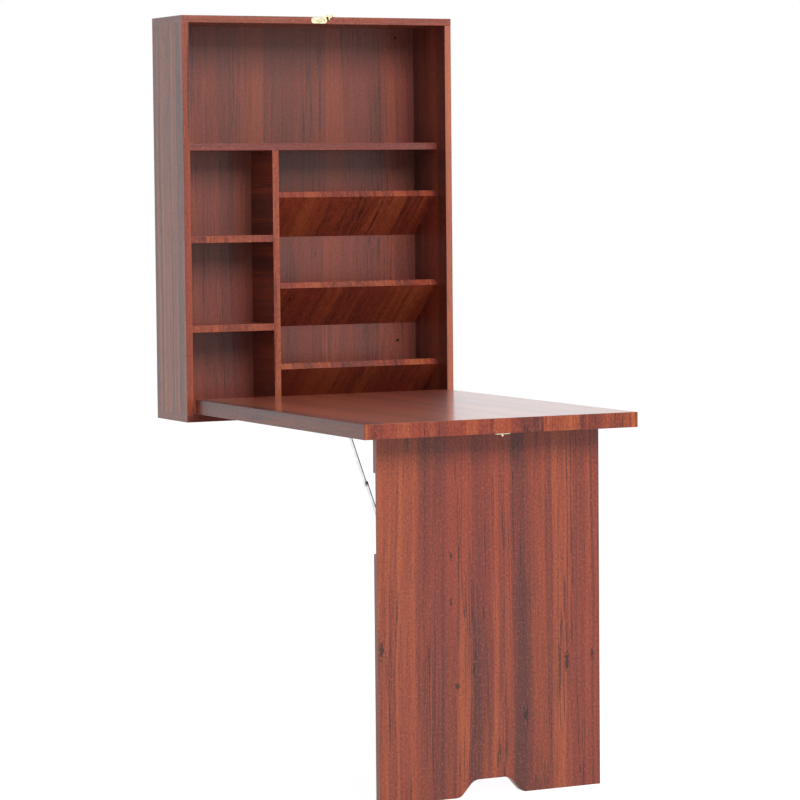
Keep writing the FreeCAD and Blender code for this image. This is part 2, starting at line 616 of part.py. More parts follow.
pin = rod("hinge_pin", start, "Sizes.hinge_pin", "Sizes.hinge_length")
group("desk_hinge_pins", pin, [(f"({x} - {hinge_half})", *desk_axis, "+X") for x in desk_hinges.values()])
group("leg_hinge_pins", pin, [(f"({x} - {hinge_half})", *leg_axis, "+X") for x in leg_hinges.values()])
group("desk_hinge_cabinet_screws", hinge_screw, flat(cabinet_leaf_screws))
group("desk_hinge_desk_screws", hinge_screw, flat(desk_leaf_screws))
group("leg_hinge_desk_screws", hinge_screw, flat(under_leaf_screws))
group("leg_hinge_leg_screws", hinge_screw, flat(leg_leaf_screws))

# Cabinet boards
top_blank = shelf_board("top", (f"(-{HALF})", FRONT, INSIDE_TOP), (HALF, "0", TOP))
base_blank = shelf_board("base", (f"(-{HALF})", FRONT, BASE), (HALF, "0", INSIDE_FLOOR))
rabbet_half = f"({INNER} + Sizes.rabbet)"
rabbet_top = f"({INSIDE_TOP} + Sizes.rabbet)"
rabbet_base = f"({INSIDE_FLOOR} - Sizes.rabbet)"
top_rabbet = block("top_rabbet", (f"(-{rabbet_half})", BACK, INSIDE_TOP), (rabbet_half, "0", rabbet_top))
base_rabbet = block("base_rabbet", (f"(-{rabbet_half})", BACK, rabbet_base), (rabbet_half, "0", INSIDE_FLOOR))
latch_spots = [(f"({n} * Sizes.latch_screw_pitch / 2)", LATCH_Z) for n in SIDES.values()]
latch_face = f"({FRONT} - Sizes.latch_plate_thickness)"
latch_screws = [(x, latch_face, z, "+Y") for x, z in latch_spots]
small_hole = ("Sizes.latch_plate_thickness", "Sizes.small_screw_length", "Sizes.small_screw")
top_holes = [top_rabbet, *neck_holes("top", flat(top_fixings)), *back_holes("top", back_top_screws)]
top_holes += screw_holes("top", latch_screws, *small_hole)
nodes["top_panel"] = cut("top_panel", top_blank, top_holes)
base_holes = [base_rabbet, *neck_holes("base", [*flat(base_fixings), *divider_fixings])]
base_holes += back_holes("base", back_base_screws)
base_holes += screw_holes("base", flat(cabinet_leaf_screws), "Sizes.leaf_thickness", "Sizes.screw_length")
nodes["bottom_panel"] = cut("bottom_panel", base_blank, base_holes)

side_dowels = {
    "left": [*upper_left_dowels, *cubby_left_dowels],
    "right": [*upper_right_dowels, *flat(pocket_right_dowels)],
}
for side, sign in SIDES.items():
    name = f"{side}_side"
    spans = {"left": (f"(-{HALF})", f"(-{INNER})"), "right": (INNER, HALF)}
    rabbets = {"left": (f"(-{rabbet_half})", f"(-{INNER})"), "right": (INNER, rabbet_half)}
    low, high = spans[side]
    blank = shelf_board(name, (low, FRONT, INSIDE_FLOOR), (high, "0", INSIDE_TOP))
    low, high = rabbets[side]
    holes = [block(f"{name}_rabbet", (low, BACK, INSIDE_FLOOR), (high, "0", INSIDE_TOP))]
    holes += core_holes(name, [*top_fixings[side], *base_fixings[side]])
    holes += dowel_holes(name, side_dowels[side], True)
    holes += back_holes(name, back_side_screws[side])
    nodes[f"{side}_side_panel"] = cut(f"{side}_side_panel", blank, holes)

back_half = f"({rabbet_half} - Sizes.back_clearance)"
back_low = (f"(-{back_half})", BACK, f"({rabbet_base} + Sizes.back_clearance)")
back_high = (back_half, "0", f"({rabbet_top} - Sizes.back_clearance)")
back_board = block("back_board", back_low, back_high)
back_tools = [rod("wall_hole", place, "Sizes.wall_hole", "Sizes.back_thickness") for place in wall_places]
for place in back_screws:
    back_tools.append(sunk_hole("back_sink", place, *wood))
    back_tools.append(rod("back_shank", place, "Sizes.screw_diameter", "Sizes.back_thickness"))
nodes["back_panel"] = cut("back_panel", back_board, back_tools)

upper_low = (f"(-{INNER})", SHELF_FRONT, f"({UPPER_SHELF} - Sizes.board)")
upper_blank = shelf_board("upper_shelf", upper_low, (INNER, BACK, UPPER_SHELF))
upper_holes = dowel_holes("upper_shelf_end", [*upper_left_dowels, *upper_right_dowels], False)
upper_holes += dowel_holes("upper_shelf_under", divider_top_dowels, True)
upper_holes += back_holes("upper_shelf", back_shelf_screws)
nodes["upper_shelf"] = cut("upper_shelf", upper_blank, upper_holes)

divider_low = (DIVIDER_LEFT, SHELF_FRONT, INSIDE_FLOOR)
divider_blank = shelf_board("divider", divider_low, (DIVIDER_RIGHT, BACK, f"({UPPER_SHELF} - Sizes.board)"))
divider_holes = dowel_holes("divider_top", divider_top_dowels, False)
divider_holes += core_holes("divider", divider_fixings)
divider_holes += dowel_holes("divider_face", [*cubby_right_dowels, *flat(pocket_left_dowels)], True)
nodes["divider"] = cut("divider", divider_blank, divider_holes)

for n, (name, level) in enumerate(zip(("cubby_shelf_high", "cubby_shelf_low"), cubby_heights)):
    upper_face = f"({BASE} + Sizes.{level})"
    low = (f"(-{INNER})", SHELF_FRONT, f"({upper_face} - Sizes.board)")
    blank = shelf_board(name, low, (DIVIDER_LEFT, BACK, upper_face))
    ends = [*cubby_left_dowels[2 * n : 2 * n + 2], *cubby_right_dowels[2 * n : 2 * n + 2]]
    nodes[name] = cut(name, blank, dowel_holes(name, ends, False))

# Magazine boards: the front edge is square to the slope and the back edge stands against the back board
board_sine = "(Sizes.board * sin(Sizes.pocket_slope))"
board_cosine = "(Sizes.board * cos(Sizes.pocket_slope))"
pocket_fall = f"({pocket_run} * tan(Sizes.pocket_slope))"
for level in pocket_names:
    name = f"magazine_board_{level.split('_')[1]}"
    body = doc.addObject("PartDesign::Body", f"{name}_body")
    outline = sketch_on(body, f"{name}_outline", "YZ_Plane")
    run, fall = value(pocket_run), value(pocket_fall)
    forward, down = value(board_sine), value(board_cosine)
    low_back = -down - (run + forward) * fall / run
    first = polygon(outline, [(0, 0), (-forward, -down), (run, low_back), (run, -fall)])
    tie(outline, "Coincident", first, 1, -1, 1)
    tie(outline, "Vertical", first + 2)
    tie(outline, "Perpendicular", first, first + 3)
    tie(outline, "Parallel", first + 1, first + 3)
    fix(outline, "thickness", "Sizes.board", "Distance", first)
    fix(outline, "run", pocket_run, "DistanceX", -1, 1, first + 3, 1)
    fix(outline, "fall", pocket_fall, "DistanceY", first + 3, 1, -1, 1)
    pad(body, f"{name}_pad", outline, f"({INNER} - {DIVIDER_RIGHT})")
    put(body, (DIVIDER_RIGHT, POCKET_FRONT, f"({BASE} + Sizes.{level})", "+Z"))
    ends = [*pocket_left_dowels[level], *pocket_right_dowels[level]]
    nodes[name] = cut(name, body, dowel_holes(name, ends, False))

dowel_places = [*upper_left_dowels, *upper_right_dowels, *divider_top_dowels, *cubby_left_dowels]
dowel_places += [*cubby_right_dowels, *flat(pocket_left_dowels), *flat(pocket_right_dowels)]
group("carcass_dowels", dowel, [along(place, "-Sizes.dowel_face") for place in dowel_places])
group("carcass_screws", carcass_screw, [*flat(top_fixings), *flat(base_fixings), *divider_fixings])
group("back_panel_screws", back_screw, back_screws)

# Stay brackets: their lanes run side by side inward from the edge of the leg
STAY_OUTER = f"({LEG_HALF} - Sizes.stay_inset)"
LANE = "(Sizes.link_thickness + Sizes.link_gap)"


def lane(side, number):
    """Lower and upper X of a lane of the stay: 0 upper link, 1 lower link and desk ear, 2 leg ear."""
    outer = f"({STAY_OUTER} - {number} * {LANE})"
    inner = f"({outer} - Sizes.link_thickness)"
    return (f"(-{outer})", f"(-{inner})") if side == "left" else (inner, outer)


def foot_span(side, number):
    """Lower and upper X of the foot of a bracket whose ear is in a lane."""
    low, high = lane(side, number)
    if side == "left":
        return low, f"({low} + Sizes.bracket_foot)"
    return f"({high} - Sizes.bracket_foot)", high


def foot_middle(side, number):
    """X of the screws in the foot of a bracket, midway between its ear and its free edge."""
    low, high = foot_span(side, number)
    shift = f"({SIDES[side]} * Sizes.link_thickness / 2)"
    return f"(({low} + {high}) / 2 - {shift})"


bracket_steps = ("(-Sizes.bracket_screw_pitch / 2)", "(Sizes.bracket_screw_pitch / 2)")
under_face = f"({DESK_UNDER} - Sizes.link_thickness)"
notch_face = f"({NOTCH_FLOOR} + Sizes.link_thickness)"
desk_bracket_screws = {
    side: [(foot_middle(side, 1), f"({DESK_PIVOT_Y} + {step})", under_face, "+Z") for step in bracket_steps]
    for side in SIDES
}
leg_bracket_screws = {
    side: [(foot_middle(side, 2), notch_face, f"({LEG_PIVOT_Z} + {step})", "-Y") for step in bracket_steps]
    for side in SIDES
}
length_half = "(Sizes.bracket_length / 2)"
link_half = "(Sizes.link_width / 2)"


def bracket(label, foot, ear, eye, screws):
    """Stay bracket: foot with two screw holes, and an ear with a round end about the pivot."""
    pieces = [block(f"{label}_foot", *foot), block(f"{label}_ear", *ear)]
    pieces.append(rod(f"{label}_eye", eye, "Sizes.link_width", "Sizes.link_thickness"))
    holes = [rod(f"{label}_bore", eye, "Sizes.rivet_shank", "Sizes.link_thickness")]
    holes += [sunk_hole(f"{label}_sink", screw, *wood) for screw in screws]
    free = "(Sizes.screw_diameter + 2 * Sizes.screw_play)"
    holes += [rod(f"{label}_hole", screw, free, "Sizes.link_thickness") for screw in screws]
    nodes[label] = cut(label, fuse(f"{label}_solid", pieces), holes)


for side in SIDES:
    low, high = foot_span(side, 1)
    ear_low, ear_high = lane(side, 1)
    foot_low = (low, f"({DESK_PIVOT_Y} - {length_half})", under_face)
    foot = (foot_low, (high, f"({DESK_PIVOT_Y} + {length_half})", DESK_UNDER))
    ear_base = (ear_low, f"({DESK_PIVOT_Y} - {link_half})", DESK_PIVOT_Z)
    ear = (ear_base, (ear_high, f"({DESK_PIVOT_Y} + {link_half})", DESK_UNDER))
    eye = (ear_low, DESK_PIVOT_Y, DESK_PIVOT_Z, "+X")
    bracket(f"stay_{side}_desk_bracket", foot, ear, eye, desk_bracket_screws[side])
    low, high = foot_span(side, 2)
    ear_low, ear_high = lane(side, 2)
    foot_low = (low, NOTCH_FLOOR, f"({LEG_PIVOT_Z} - {length_half})")
    foot = (foot_low, (high, notch_face, f"({LEG_PIVOT_Z} + {length_half})"))
    ear_base = (ear_low, NOTCH_FLOOR, f"({LEG_PIVOT_Z} - {link_half})")
    ear = (ear_base, (ear_high, LEG_PIVOT_Y, f"({LEG_PIVOT_Z} + {link_half})"))
    eye = (ear_low, LEG_PIVOT_Y, LEG_PIVOT_Z, "+X")
    bracket(f"stay_{side}_leg_bracket", foot, ear, eye, leg_bracket_screws[side])
group("stay_desk_screws", hinge_screw, flat(desk_bracket_screws))
group("stay_leg_screws", short_screw, flat(leg_bracket_screws))

# Stay links and rivets; the elbow rivet belongs to the upper link, its upset end to the lower link
turning = "(Sizes.rivet_shank + 2 * Sizes.pin_play)"
rivet_reach = f"({LANE} + Sizes.link_thickness)"
rivet_out = "(Sizes.rivet_head_height + Sizes.link_gap)"
rivet_ends = [
    rod("rivet_top", start, "Sizes.rivet_head", "Sizes.rivet_head_height"),
    rod("rivet_stem", start, "Sizes.rivet_shank", f"(2 * {rivet_out} + {rivet_reach})"),
    rod(
        "rivet_tail",
        along(start, f"Sizes.rivet_head_height + 2 * Sizes.link_gap + {rivet_reach}"),
        "Sizes.rivet_head",
        "Sizes.rivet_head_height",
    ),
]
rivet = fuse("stay_rivet", rivet_ends)
flush_height = "((Sizes.flush_head - Sizes.rivet_shank) / 2)"
flush_ends = [
    taper("flush_top", start, "Sizes.flush_head", "Sizes.rivet_shank", flush_height),
    rod("flush_stem", start, "Sizes.rivet_shank", f"({rivet_reach} + {rivet_out})"),
    rod(
        "flush_tail",
        along(start, f"Sizes.link_gap + {rivet_reach}"),
        "Sizes.rivet_head",
        "Sizes.rivet_head_height",
    ),
]
flush_rivet = fuse("flush_rivet", flush_ends)
elbow_parts = [
    rod("elbow_top", start, "Sizes.rivet_head", "Sizes.rivet_head_height"),
    rod("elbow_stem", start, "Sizes.rivet_shank", "(Sizes.rivet_head_height + Sizes.link_thickness)"),
]
elbow_rivet = fuse("elbow_rivet", elbow_parts)
inward = {"left": "+X", "right": "-X"}


def outer_face(side, number):
    """X of the outward face of a lane."""
    low, high = lane(side, number)
    return low if side == "left" else high


def outward(side, number, distance):
    """X at a distance outward of a lane."""
    return f"({outer_face(side, number)} + {SIDES[side]} * ({distance}))"


group(
    "stay_desk_rivets",
    rivet,
    [(outward(side, 0, rivet_out), DESK_PIVOT_Y, DESK_PIVOT_Z, inward[side]) for side in SIDES],
)
group(
    "stay_leg_rivets",
    flush_rivet,
    [(outer_face(side, 1), LEG_PIVOT_Y, LEG_PIVOT_Z, inward[side]) for side in SIDES],
)
ELBOW_Y = f"({DESK_PIVOT_Y} - {UPPER_LINK} * cos({STAY_ANGLE}))"
ELBOW_Z = f"({DESK_PIVOT_Z} - {UPPER_LINK} * sin({STAY_ANGLE}))"
for side in SIDES:
    name = f"stay_{side}_upper_link"
    low = lane(side, 0)[0]
    turn = f"rotation(vector(1; 0; 0); 180 deg + {STAY_ANGLE})"
    spot = f"placement(vector({low}; {DESK_PIVOT_Y}; {DESK_PIVOT_Z}); {turn})"
    bar = flat_bar(f"{name}_bar", "YZ_Plane", UPPER_LINK, "Sizes.link_width", "Sizes.link_thickness", spot)
    holes = [
        rod(f"{name}_eye", (low, DESK_PIVOT_Y, DESK_PIVOT_Z, "+X"), turning, "Sizes.link_thickness"),
        rod(f"{name}_elbow", (low, ELBOW_Y, ELBOW_Z, "+X"), "Sizes.rivet_shank", "Sizes.link_thickness"),
    ]
    nodes[name] = cut(name, bar, holes)
    elbow_place = (outward(side, 0, "Sizes.rivet_head_height"), ELBOW_Y, ELBOW_Z, inward[side])
    group(f"stay_{side}_elbow_rivet", elbow_rivet, [elbow_place])
    name = f"stay_{side}_lower_link"
    low = lane(side, 1)[0]
    turn = f"rotation(vector(1; 0; 0); {STAY_ANGLE})"
    spot = f"placement(vector({low}; {LEG_PIVOT_Y}; {LEG_PIVOT_Z}); {turn})"
    bar = flat_bar(f"{name}_bar", "YZ_Plane", LOWER_LINK, "Sizes.link_width", "Sizes.link_thickness", spot)
    tail_place = (outward(side, 1, "-Sizes.link_thickness"), ELBOW_Y, ELBOW_Z, inward[side])
    tail = rod(f"{name}_tail", tail_place, "Sizes.rivet_head", "Sizes.rivet_head_height")
    eye = rod(f"{name}_eye", (low, LEG_PIVOT_Y, LEG_PIVOT_Z, "+X"), turning, "Sizes.link_thickness")
    sink_place = (outer_face(side, 1), LEG_PIVOT_Y, LEG_PIVOT_Z, inward[side])
    sink_width = "(Sizes.flush_head + 2 * Sizes.pin_play)"
    sink = taper(f"{name}_sink", sink_place, sink_width, turning, flush_height)
    nodes[name] = cut(name, fuse(f"{name}_solid", [bar, tail]), [eye, sink])

# Desk board
desk_low = (f"(-{DESK_HALF})", DESK_FRONT, DESK_UNDER)
desk_high = (DESK_HALF, DESK_BACK, f"({DESK_UNDER} + Sizes.desk_thickness)")
desk_block = block("desk_block", desk_low, desk_high)
desk_board = soften("desk_board", desk_block, "Sizes.desk_round", lambda box: True)
keeper_face = f"({DESK_UNDER} - Sizes.latch_plate_thickness)"
keeper_columns = [f"({sign} * Sizes.keeper_screw_pitch / 2)" for sign in SIDES.values()]
keeper_screws = [(x, KEEPER_Y, keeper_face, "+Z") for x in keeper_columns]
desk_holes = screw_holes("desk", flat(desk_leaf_screws), "Sizes.leaf_thickness", "Sizes.screw_length")
desk_holes += screw_holes("desk", flat(under_leaf_screws), "Sizes.leaf_thickness", "Sizes.screw_length")
desk_holes += screw_holes("desk", flat(desk_bracket_screws), "Sizes.link_thickness", "Sizes.screw_length")
desk_holes += screw_holes("desk", keeper_screws, *small_hole)
nodes["desk_panel"] = cut("desk_panel", desk_board, desk_holes)

# Leg board, drawn on its back face from the middle of its top edge
leg = doc.addObject("PartDesign::Body", "leg_body")
leg_outline = sketch_on(leg, "leg_outline", "XZ_Plane")
half_turn = "tan(Sizes.toe_slope / 2)"
toe_rounds = f"((Sizes.toe_round_top + Sizes.toe_round_foot) * {half_turn})"
toe_side = f"(Sizes.toe_height / tan(Sizes.toe_slope) + {toe_rounds})"
foot_inner = f"(Sizes.toe_top / 2 + {toe_side})"
wide, tall = value(LEG_HALF), value(LEG_LENGTH)
inner_x, flat_x = value(foot_inner), value("Sizes.toe_top / 2")
rise = value("Sizes.toe_height")
top_radius, foot_radius = value("Sizes.toe_round_top"), value("Sizes.toe_round_foot")
sine, cosine = value("sin(Sizes.toe_slope)"), value("cos(Sizes.toe_slope)")
slope_angle = value("Sizes.toe_slope * pi / 180")
quarter = value("pi / 2")
upright = FreeCAD.Vector(0, 0, 1)


def flat_point(x, z):
    """Point of the leg sketch."""
    return FreeCAD.Vector(x, z, 0)


foot_centre = {1: flat_point(inner_x, foot_radius - tall), -1: flat_point(-inner_x, foot_radius - tall)}
top_level = rise - tall - top_radius
top_centre = {1: flat_point(flat_x, top_level), -1: flat_point(-flat_x, top_level)}
foot_arc_end = flat_point(inner_x - foot_radius * sine, foot_radius - tall - foot_radius * cosine)
top_arc_start = flat_point(flat_x + top_radius * sine, rise - tall - top_radius + top_radius * cosine)


def mirrored(point):
    """Point on the other half of the leg sketch."""
    return flat_point(-point.x, point.y)


def arc(centre, radius, begin, end):
    """Arc of the leg sketch, anticlockwise."""
    return Part.ArcOfCircle(Part.Circle(centre, upright, radius), begin, end)


down = -quarter
leg_outline.addGeometry(Part.LineSegment(flat_point(-wide, 0), flat_point(wide, 0)))
leg_outline.addGeometry(Part.LineSegment(flat_point(wide, 0), flat_point(wide, -tall)))
leg_outline.addGeometry(Part.LineSegment(flat_point(wide, -tall), flat_point(inner_x, -tall)))
leg_outline.addGeometry(arc(foot_centre[1], foot_radius, down - slope_angle, down))
leg_outline.addGeometry(Part.LineSegment(foot_arc_end, top_arc_start))
leg_outline.addGeometry(arc(top_centre[1], top_radius, quarter - slope_angle, quarter))
leg_outline.addGeometry(Part.LineSegment(flat_point(flat_x, rise - tall), flat_point(-flat_x, rise - tall)))
leg_outline.addGeometry(arc(top_centre[-1], top_radius, quarter, quarter + slope_angle))
leg_outline.addGeometry(Part.LineSegment(mirrored(top_arc_start), mirrored(foot_arc_end)))
leg_outline.addGeometry(arc(foot_centre[-1], foot_radius, down, down + slope_angle))
leg_outline.addGeometry(Part.LineSegment(flat_point(-inner_x, -tall), flat_point(-wide, -tall)))
leg_outline.addGeometry(Part.LineSegment(flat_point(-wide, -tall), flat_point(-wide, 0)))
for first, second in ((0, 1), (1, 2), (10, 11), (11, 0)):
    tie(leg_outline, "Coincident", first, 2, second, 1)
tie(leg_outline, "Tangent", 2, 2, 3, 2)
tie(leg_outline, "Tangent", 3, 1, 4, 1)
tie(leg_outline, "Tangent", 4, 2, 5, 1)
tie(leg_outline, "Tangent", 5, 2, 6, 1)
tie(leg_outline, "Tangent", 6, 2, 7, 1)
tie(leg_outline, "Tangent", 7, 2, 8, 1)
tie(leg_outline, "Tangent", 8, 2, 9, 2)
tie(leg_outline, "Tangent", 9, 1, 10, 1)
for line in (0, 2, 10):
    tie(leg_outline, "Horizontal", line)
for line in (1, 11):
    tie(leg_outline, "Vertical", line)
tie(leg_outline, "Symmetric", 0, 1, 0, 2, -1, 1)
tie(leg_outline, "Symmetric", 6, 1, 6, 2, -2)
tie(leg_outline, "Symmetric", 2, 2, 10, 1, -2)
tie(leg_outline, "Equal", 3, 9)
tie(leg_outline, "Equal", 5, 7)
fix(leg_outline, "width", "Sizes.leg_width", "DistanceX", 0, 1, 0, 2)
fix(leg_outline, "length", LEG_LENGTH, "DistanceY", 1, 2, 1, 1)
fix(leg_outline, "toe_rise", "Sizes.toe_height", "DistanceY", 2, 2, 6, 1)
fix(leg_outline, "toe_flat", "Sizes.toe_top", "DistanceX", 6, 2, 6, 1)
fix(leg_outline, "toe_run", toe_side, "DistanceX", 6, 1, 2, 2)
fix(leg_outline, "top_round", "Sizes.toe_round_top", "Radius", 5)
fix(leg_outline, "foot_round", "Sizes.toe_round_foot", "Radius", 3)
pad(leg, "leg_pad", leg_outline, "Sizes.board")
notches = sketch_on(leg, "leg_notches", "XZ_Plane")
near, far = value("Sizes.notch_start"), value(NOTCH_END)
inside = value(f"{LEG_HALF} - Sizes.notch_width")
for sign, name in ((-1, "left"), (1, "right")):
    corners = [(sign * wide, -near), (sign * inside, -near), (sign * inside, -far), (sign * wide, -far)]
    first = polygon(notches, corners)
    for line in (first, first + 2):
        tie(notches, "Horizontal", line)
    for line in (first + 1, first + 3):
        tie(notches, "Vertical", line)
    fix(notches, f"{name}_start", "Sizes.notch_start", "DistanceY", first, 1, -1, 1)
    fix(notches, f"{name}_end", NOTCH_END, "DistanceY", first + 2, 1, -1, 1)
    if sign < 0:
        fix(notches, f"{name}_edge", LEG_HALF, "DistanceX", first, 1, -1, 1)
        fix(notches, f"{name}_width", "Sizes.notch_width", "DistanceX", first, 1, first, 2)
    else:
        fix(notches, f"{name}_edge", LEG_HALF, "DistanceX", -1, 1, first, 1)
        fix(notches, f"{name}_width", "Sizes.notch_width", "DistanceX", first, 2, first, 1)
pocket = leg.newObject("PartDesign::Pocket", "leg_pocket")
pocket.Profile = notches
pocket.Reversed = True
pocket.setExpression("Length", "Sizes.notch_depth")
leg.Tip = pocket
put(leg, ("0", LEG_BACK, LEG_TOP, "+Z"))
leg_holes = screw_holes("leg", flat(leg_leaf_screws), "Sizes.leaf_thickness", "Sizes.screw_length")
leg_holes += screw_holes("leg", flat(leg_bracket_screws), "Sizes.link_thickness", "Sizes.short_screw_length")
nodes["leg_panel"] = cut("leg_panel", leg, leg_holes)

# Latch plate with a raised boss, its screws, and the rivet that the hook turns on
plate_reach = "(Sizes.latch_plate_length - Sizes.latch_plate_width)"
plate_spot = f"placement(vector(-{plate_reach} / 2; {FRONT}; {LATCH_Z}); rotation(vector(0; 0; 1); 0))"
plate = "Sizes.latch_plate_thickness"
latch_bar = flat_bar("latch_bar", "XZ_Plane", plate_reach, "Sizes.latch_plate_width", plate, plate_spot)
latch_axis = ("0", FRONT, LATCH_Z, "-Y")
boss_height = f"({FRONT} - {HOOK_BACK} - Sizes.hook_air)"
boss = rod("latch_boss", latch_axis, "Sizes.hook_hub", boss_height)
latch_bores = [rod("latch_bore", latch_axis, "Sizes.rivet_shank", boss_height)]
latch_bores += [sunk_hole("latch_sink", screw, *small) for screw in latch_screws]
nodes["latch_plate"] = cut("latch_plate", fuse("latch_solid", [latch_bar, boss]), latch_bores)
group("latch_screws", latch_screw, latch_screws)
shank_length = f"({FRONT} - {HOOK_FRONT} + Sizes.hook_air)"
latch_cap = along(latch_axis, shank_length)
cap_head = "Sizes.latch_rivet_head"
cap_flat = taper("latch_rivet_cap", latch_cap, cap_head, f"{cap_head} * 0.6", "Sizes.latch_rivet_height")
latch_shank = rod("latch_rivet_shank", latch_axis, "Sizes.rivet_shank", shank_length)
nodes["latch_rivet"] = fuse("latch_rivet", [latch_shank, cap_flat])

# Hook, drawn latched with the stud straight below its pivot, then swung open
hook_half = "(Sizes.hook_bar / 2)"
seat = "(Sizes.stud_neck + 2 * Sizes.stud_play)"
front_y = "(-Sizes.hook_thickness)"
ring_radius = "(Sizes.hook_ring / 2)"
bar_edge = f"({ring_radius} - {hook_half})"
stem_top = f"(-Sizes.latch_reach - {seat} / 2 - 1)"
hub_place = ("0", "0", "0", "-Y")
ring_place = ("0", "0", "(-Sizes.latch_reach)", "-Y")
hook_parts = [
    rod("hook_hub_disc", hub_place, "Sizes.hook_hub", "Sizes.hook_thickness"),
    rod("hook_ring_disc", ring_place, "Sizes.hook_ring", "Sizes.hook_thickness"),
    block("hook_bar", ("0", front_y, "(-Sizes.latch_reach)"), (bar_edge, "0", "0")),
    block("hook_stem", (f"(-{hook_half})", front_y, "(-Sizes.knob_reach)"), (hook_half, "0", stem_top)),
]
knob = doc.addObject("Part::Sphere", "hook_knob")
knob.setExpression("Radius", "Sizes.knob_diameter / 2")
put(knob, ("0", "(-Sizes.hook_thickness / 2 - Sizes.knob_forward)", "(-Sizes.knob_reach)", "+Z"))
hook_solid = fuse("hook_solid", [*hook_parts, knob])
mouth_low = (f"(-{ring_radius} - 1)", front_y, f"(-Sizes.latch_reach - {seat} / 2)")
mouth_high = ("0", "0", f"(-Sizes.latch_reach + {seat} / 2)")
hook_holes = [
    rod("hook_eye", hub_place, turning, "Sizes.hook_thickness"),
    rod("hook_seat", ring_place, seat, "Sizes.hook_thickness"),
    block("hook_mouth", mouth_low, mouth_high),
]
hook = cut("latch_hook", hook_solid, hook_holes)
hook.setExpression(
    "Placement",
    f"placement(vector(0; {HOOK_BACK}; {LATCH_Z}); rotation(vector(0; 1; 0); -Sizes.latch_rest))",
)
nodes["latch_hook"] = hook

# Keeper plate, its screws and its mushroom stud
keeper_reach = "(Sizes.keeper_length - Sizes.keeper_width)"
keeper_end = f"vector(-{keeper_reach} / 2; {KEEPER_Y}; {keeper_face})"
keeper_spot = f"placement({keeper_end}; rotation(vector(0; 0; 1); 0))"
keeper_bar = flat_bar("keeper_bar", "XY_Plane", keeper_reach, "Sizes.keeper_width", plate, keeper_spot)
stud_place = ("0", KEEPER_Y, DESK_UNDER, "-Z")
neck_length = f"(Sizes.latch_plate_thickness + {STUD_NECK_LENGTH})"
keeper_holes = [rod("keeper_bore", stud_place, "Sizes.stud_neck", "Sizes.latch_plate_thickness")]
keeper_holes += [sunk_hole("keeper_sink", screw, *small) for screw in keeper_screws]
nodes["keeper_plate"] = cut("keeper_plate", keeper_bar, keeper_holes)
stud_neck = rod("stud_stem", stud_place, "Sizes.stud_neck", neck_length)
cap_place = along(stud_place, neck_length)
stud_head = taper("stud_cap", cap_place, "Sizes.stud_head", "Sizes.stud_head * 0.6", "Sizes.stud_head_height")
nodes["keeper_stud"] = fuse("keeper_stud", [stud_neck, stud_head])
group("keeper_screws", latch_screw, keeper_screws)

doc.recompute()
for item in doc.Objects:
    if "Invalid" in item.State or "Error" in item.State:
        raise RuntimeError(f"{item.Name} did not build")
os.makedirs("parts", exist_ok=True)
for name, piece in nodes.items():
    shape = piece.Shape
    if shape.isNull() or not shape.isValid() or not shape.Solids:
        raise RuntimeError(f"{name} has no sound solid")
    shape.exportStep(f"parts/{name}.step")
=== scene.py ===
"""Fold-down wall desk in mahogany laminate: finish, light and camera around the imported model.

Lengths are metres in the frame of the part: X to the right, Y into the wall, Z up.
"""

import json
import math

import bpy
from mathutils import Matrix, Vector


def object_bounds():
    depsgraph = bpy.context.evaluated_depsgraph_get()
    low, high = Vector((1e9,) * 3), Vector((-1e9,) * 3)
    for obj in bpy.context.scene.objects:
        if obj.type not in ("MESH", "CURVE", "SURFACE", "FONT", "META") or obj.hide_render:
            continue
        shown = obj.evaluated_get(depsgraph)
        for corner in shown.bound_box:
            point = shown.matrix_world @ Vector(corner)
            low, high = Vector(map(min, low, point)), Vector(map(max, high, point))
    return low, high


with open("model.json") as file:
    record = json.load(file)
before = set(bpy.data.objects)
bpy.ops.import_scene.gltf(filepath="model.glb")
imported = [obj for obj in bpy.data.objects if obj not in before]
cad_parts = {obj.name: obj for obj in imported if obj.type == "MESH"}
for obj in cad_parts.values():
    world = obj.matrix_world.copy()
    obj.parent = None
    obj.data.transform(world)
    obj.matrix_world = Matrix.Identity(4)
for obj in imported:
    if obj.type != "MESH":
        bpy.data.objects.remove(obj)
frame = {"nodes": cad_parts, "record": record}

CAD_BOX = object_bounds()
FLOOR_LEVEL = CAD_BOX[0].z
MIDDLE = (CAD_BOX[0] + CAD_BOX[1]) / 2
MILLIMETRE = 0.001
AXES = "XYZ"
CORNERS = ((-1, -1), (1, -1), (1, 1), (-1, 1))

# Camera of the photograph, with its lens and sensor in millimetres
CAMERA_PLACE = Vector((-2.9334, -6.4629, 0.0278))
CAMERA_YAW = math.radians(26.334)
CAMERA_PITCH = math.radians(3.931)
CAMERA_ROLL = math.radians(-0.532)
CAMERA_LENS = 146.18
CAMERA_REACH = 100.0
SENSOR_WIDTH = 36.0


def shade(red, green, blue):
    """Linear colour of a display colour given from 0 to 255, by the sRGB curve."""
    linear = []
    for level in (red / 255, green / 255, blue / 255):
        linear.append(level / 12.92 if level <= 0.04045 else ((level + 0.055) / 1.055) ** 2.4)
    return (*linear, 1.0)


# Node helpers: the middle level of noise, and a mix node's two inputs and output for each kind of data
NOISE_MIDDLE = 0.5
MIX_SOCKETS = {"VECTOR": (4, 5, 1), "RGBA": (6, 7, 2)}


def add(tree, kind, inputs=None, **settings):
    """New node with its settings and inputs, each input a value or another node's output."""
    made = tree.nodes.new(kind)
    for name, value in settings.items():
        setattr(made, name, value)
    for key, value in (inputs or {}).items():
        if isinstance(value, bpy.types.NodeSocket):
            tree.links.new(value, made.inputs[key])
        else:
            made.inputs[key].default_value = value
    return made


def math_node(tree, operation, *values):
    """Output of a maths node on up to three values."""
    return add(tree, "ShaderNodeMath", dict(enumerate(values)), operation=operation).outputs[0]


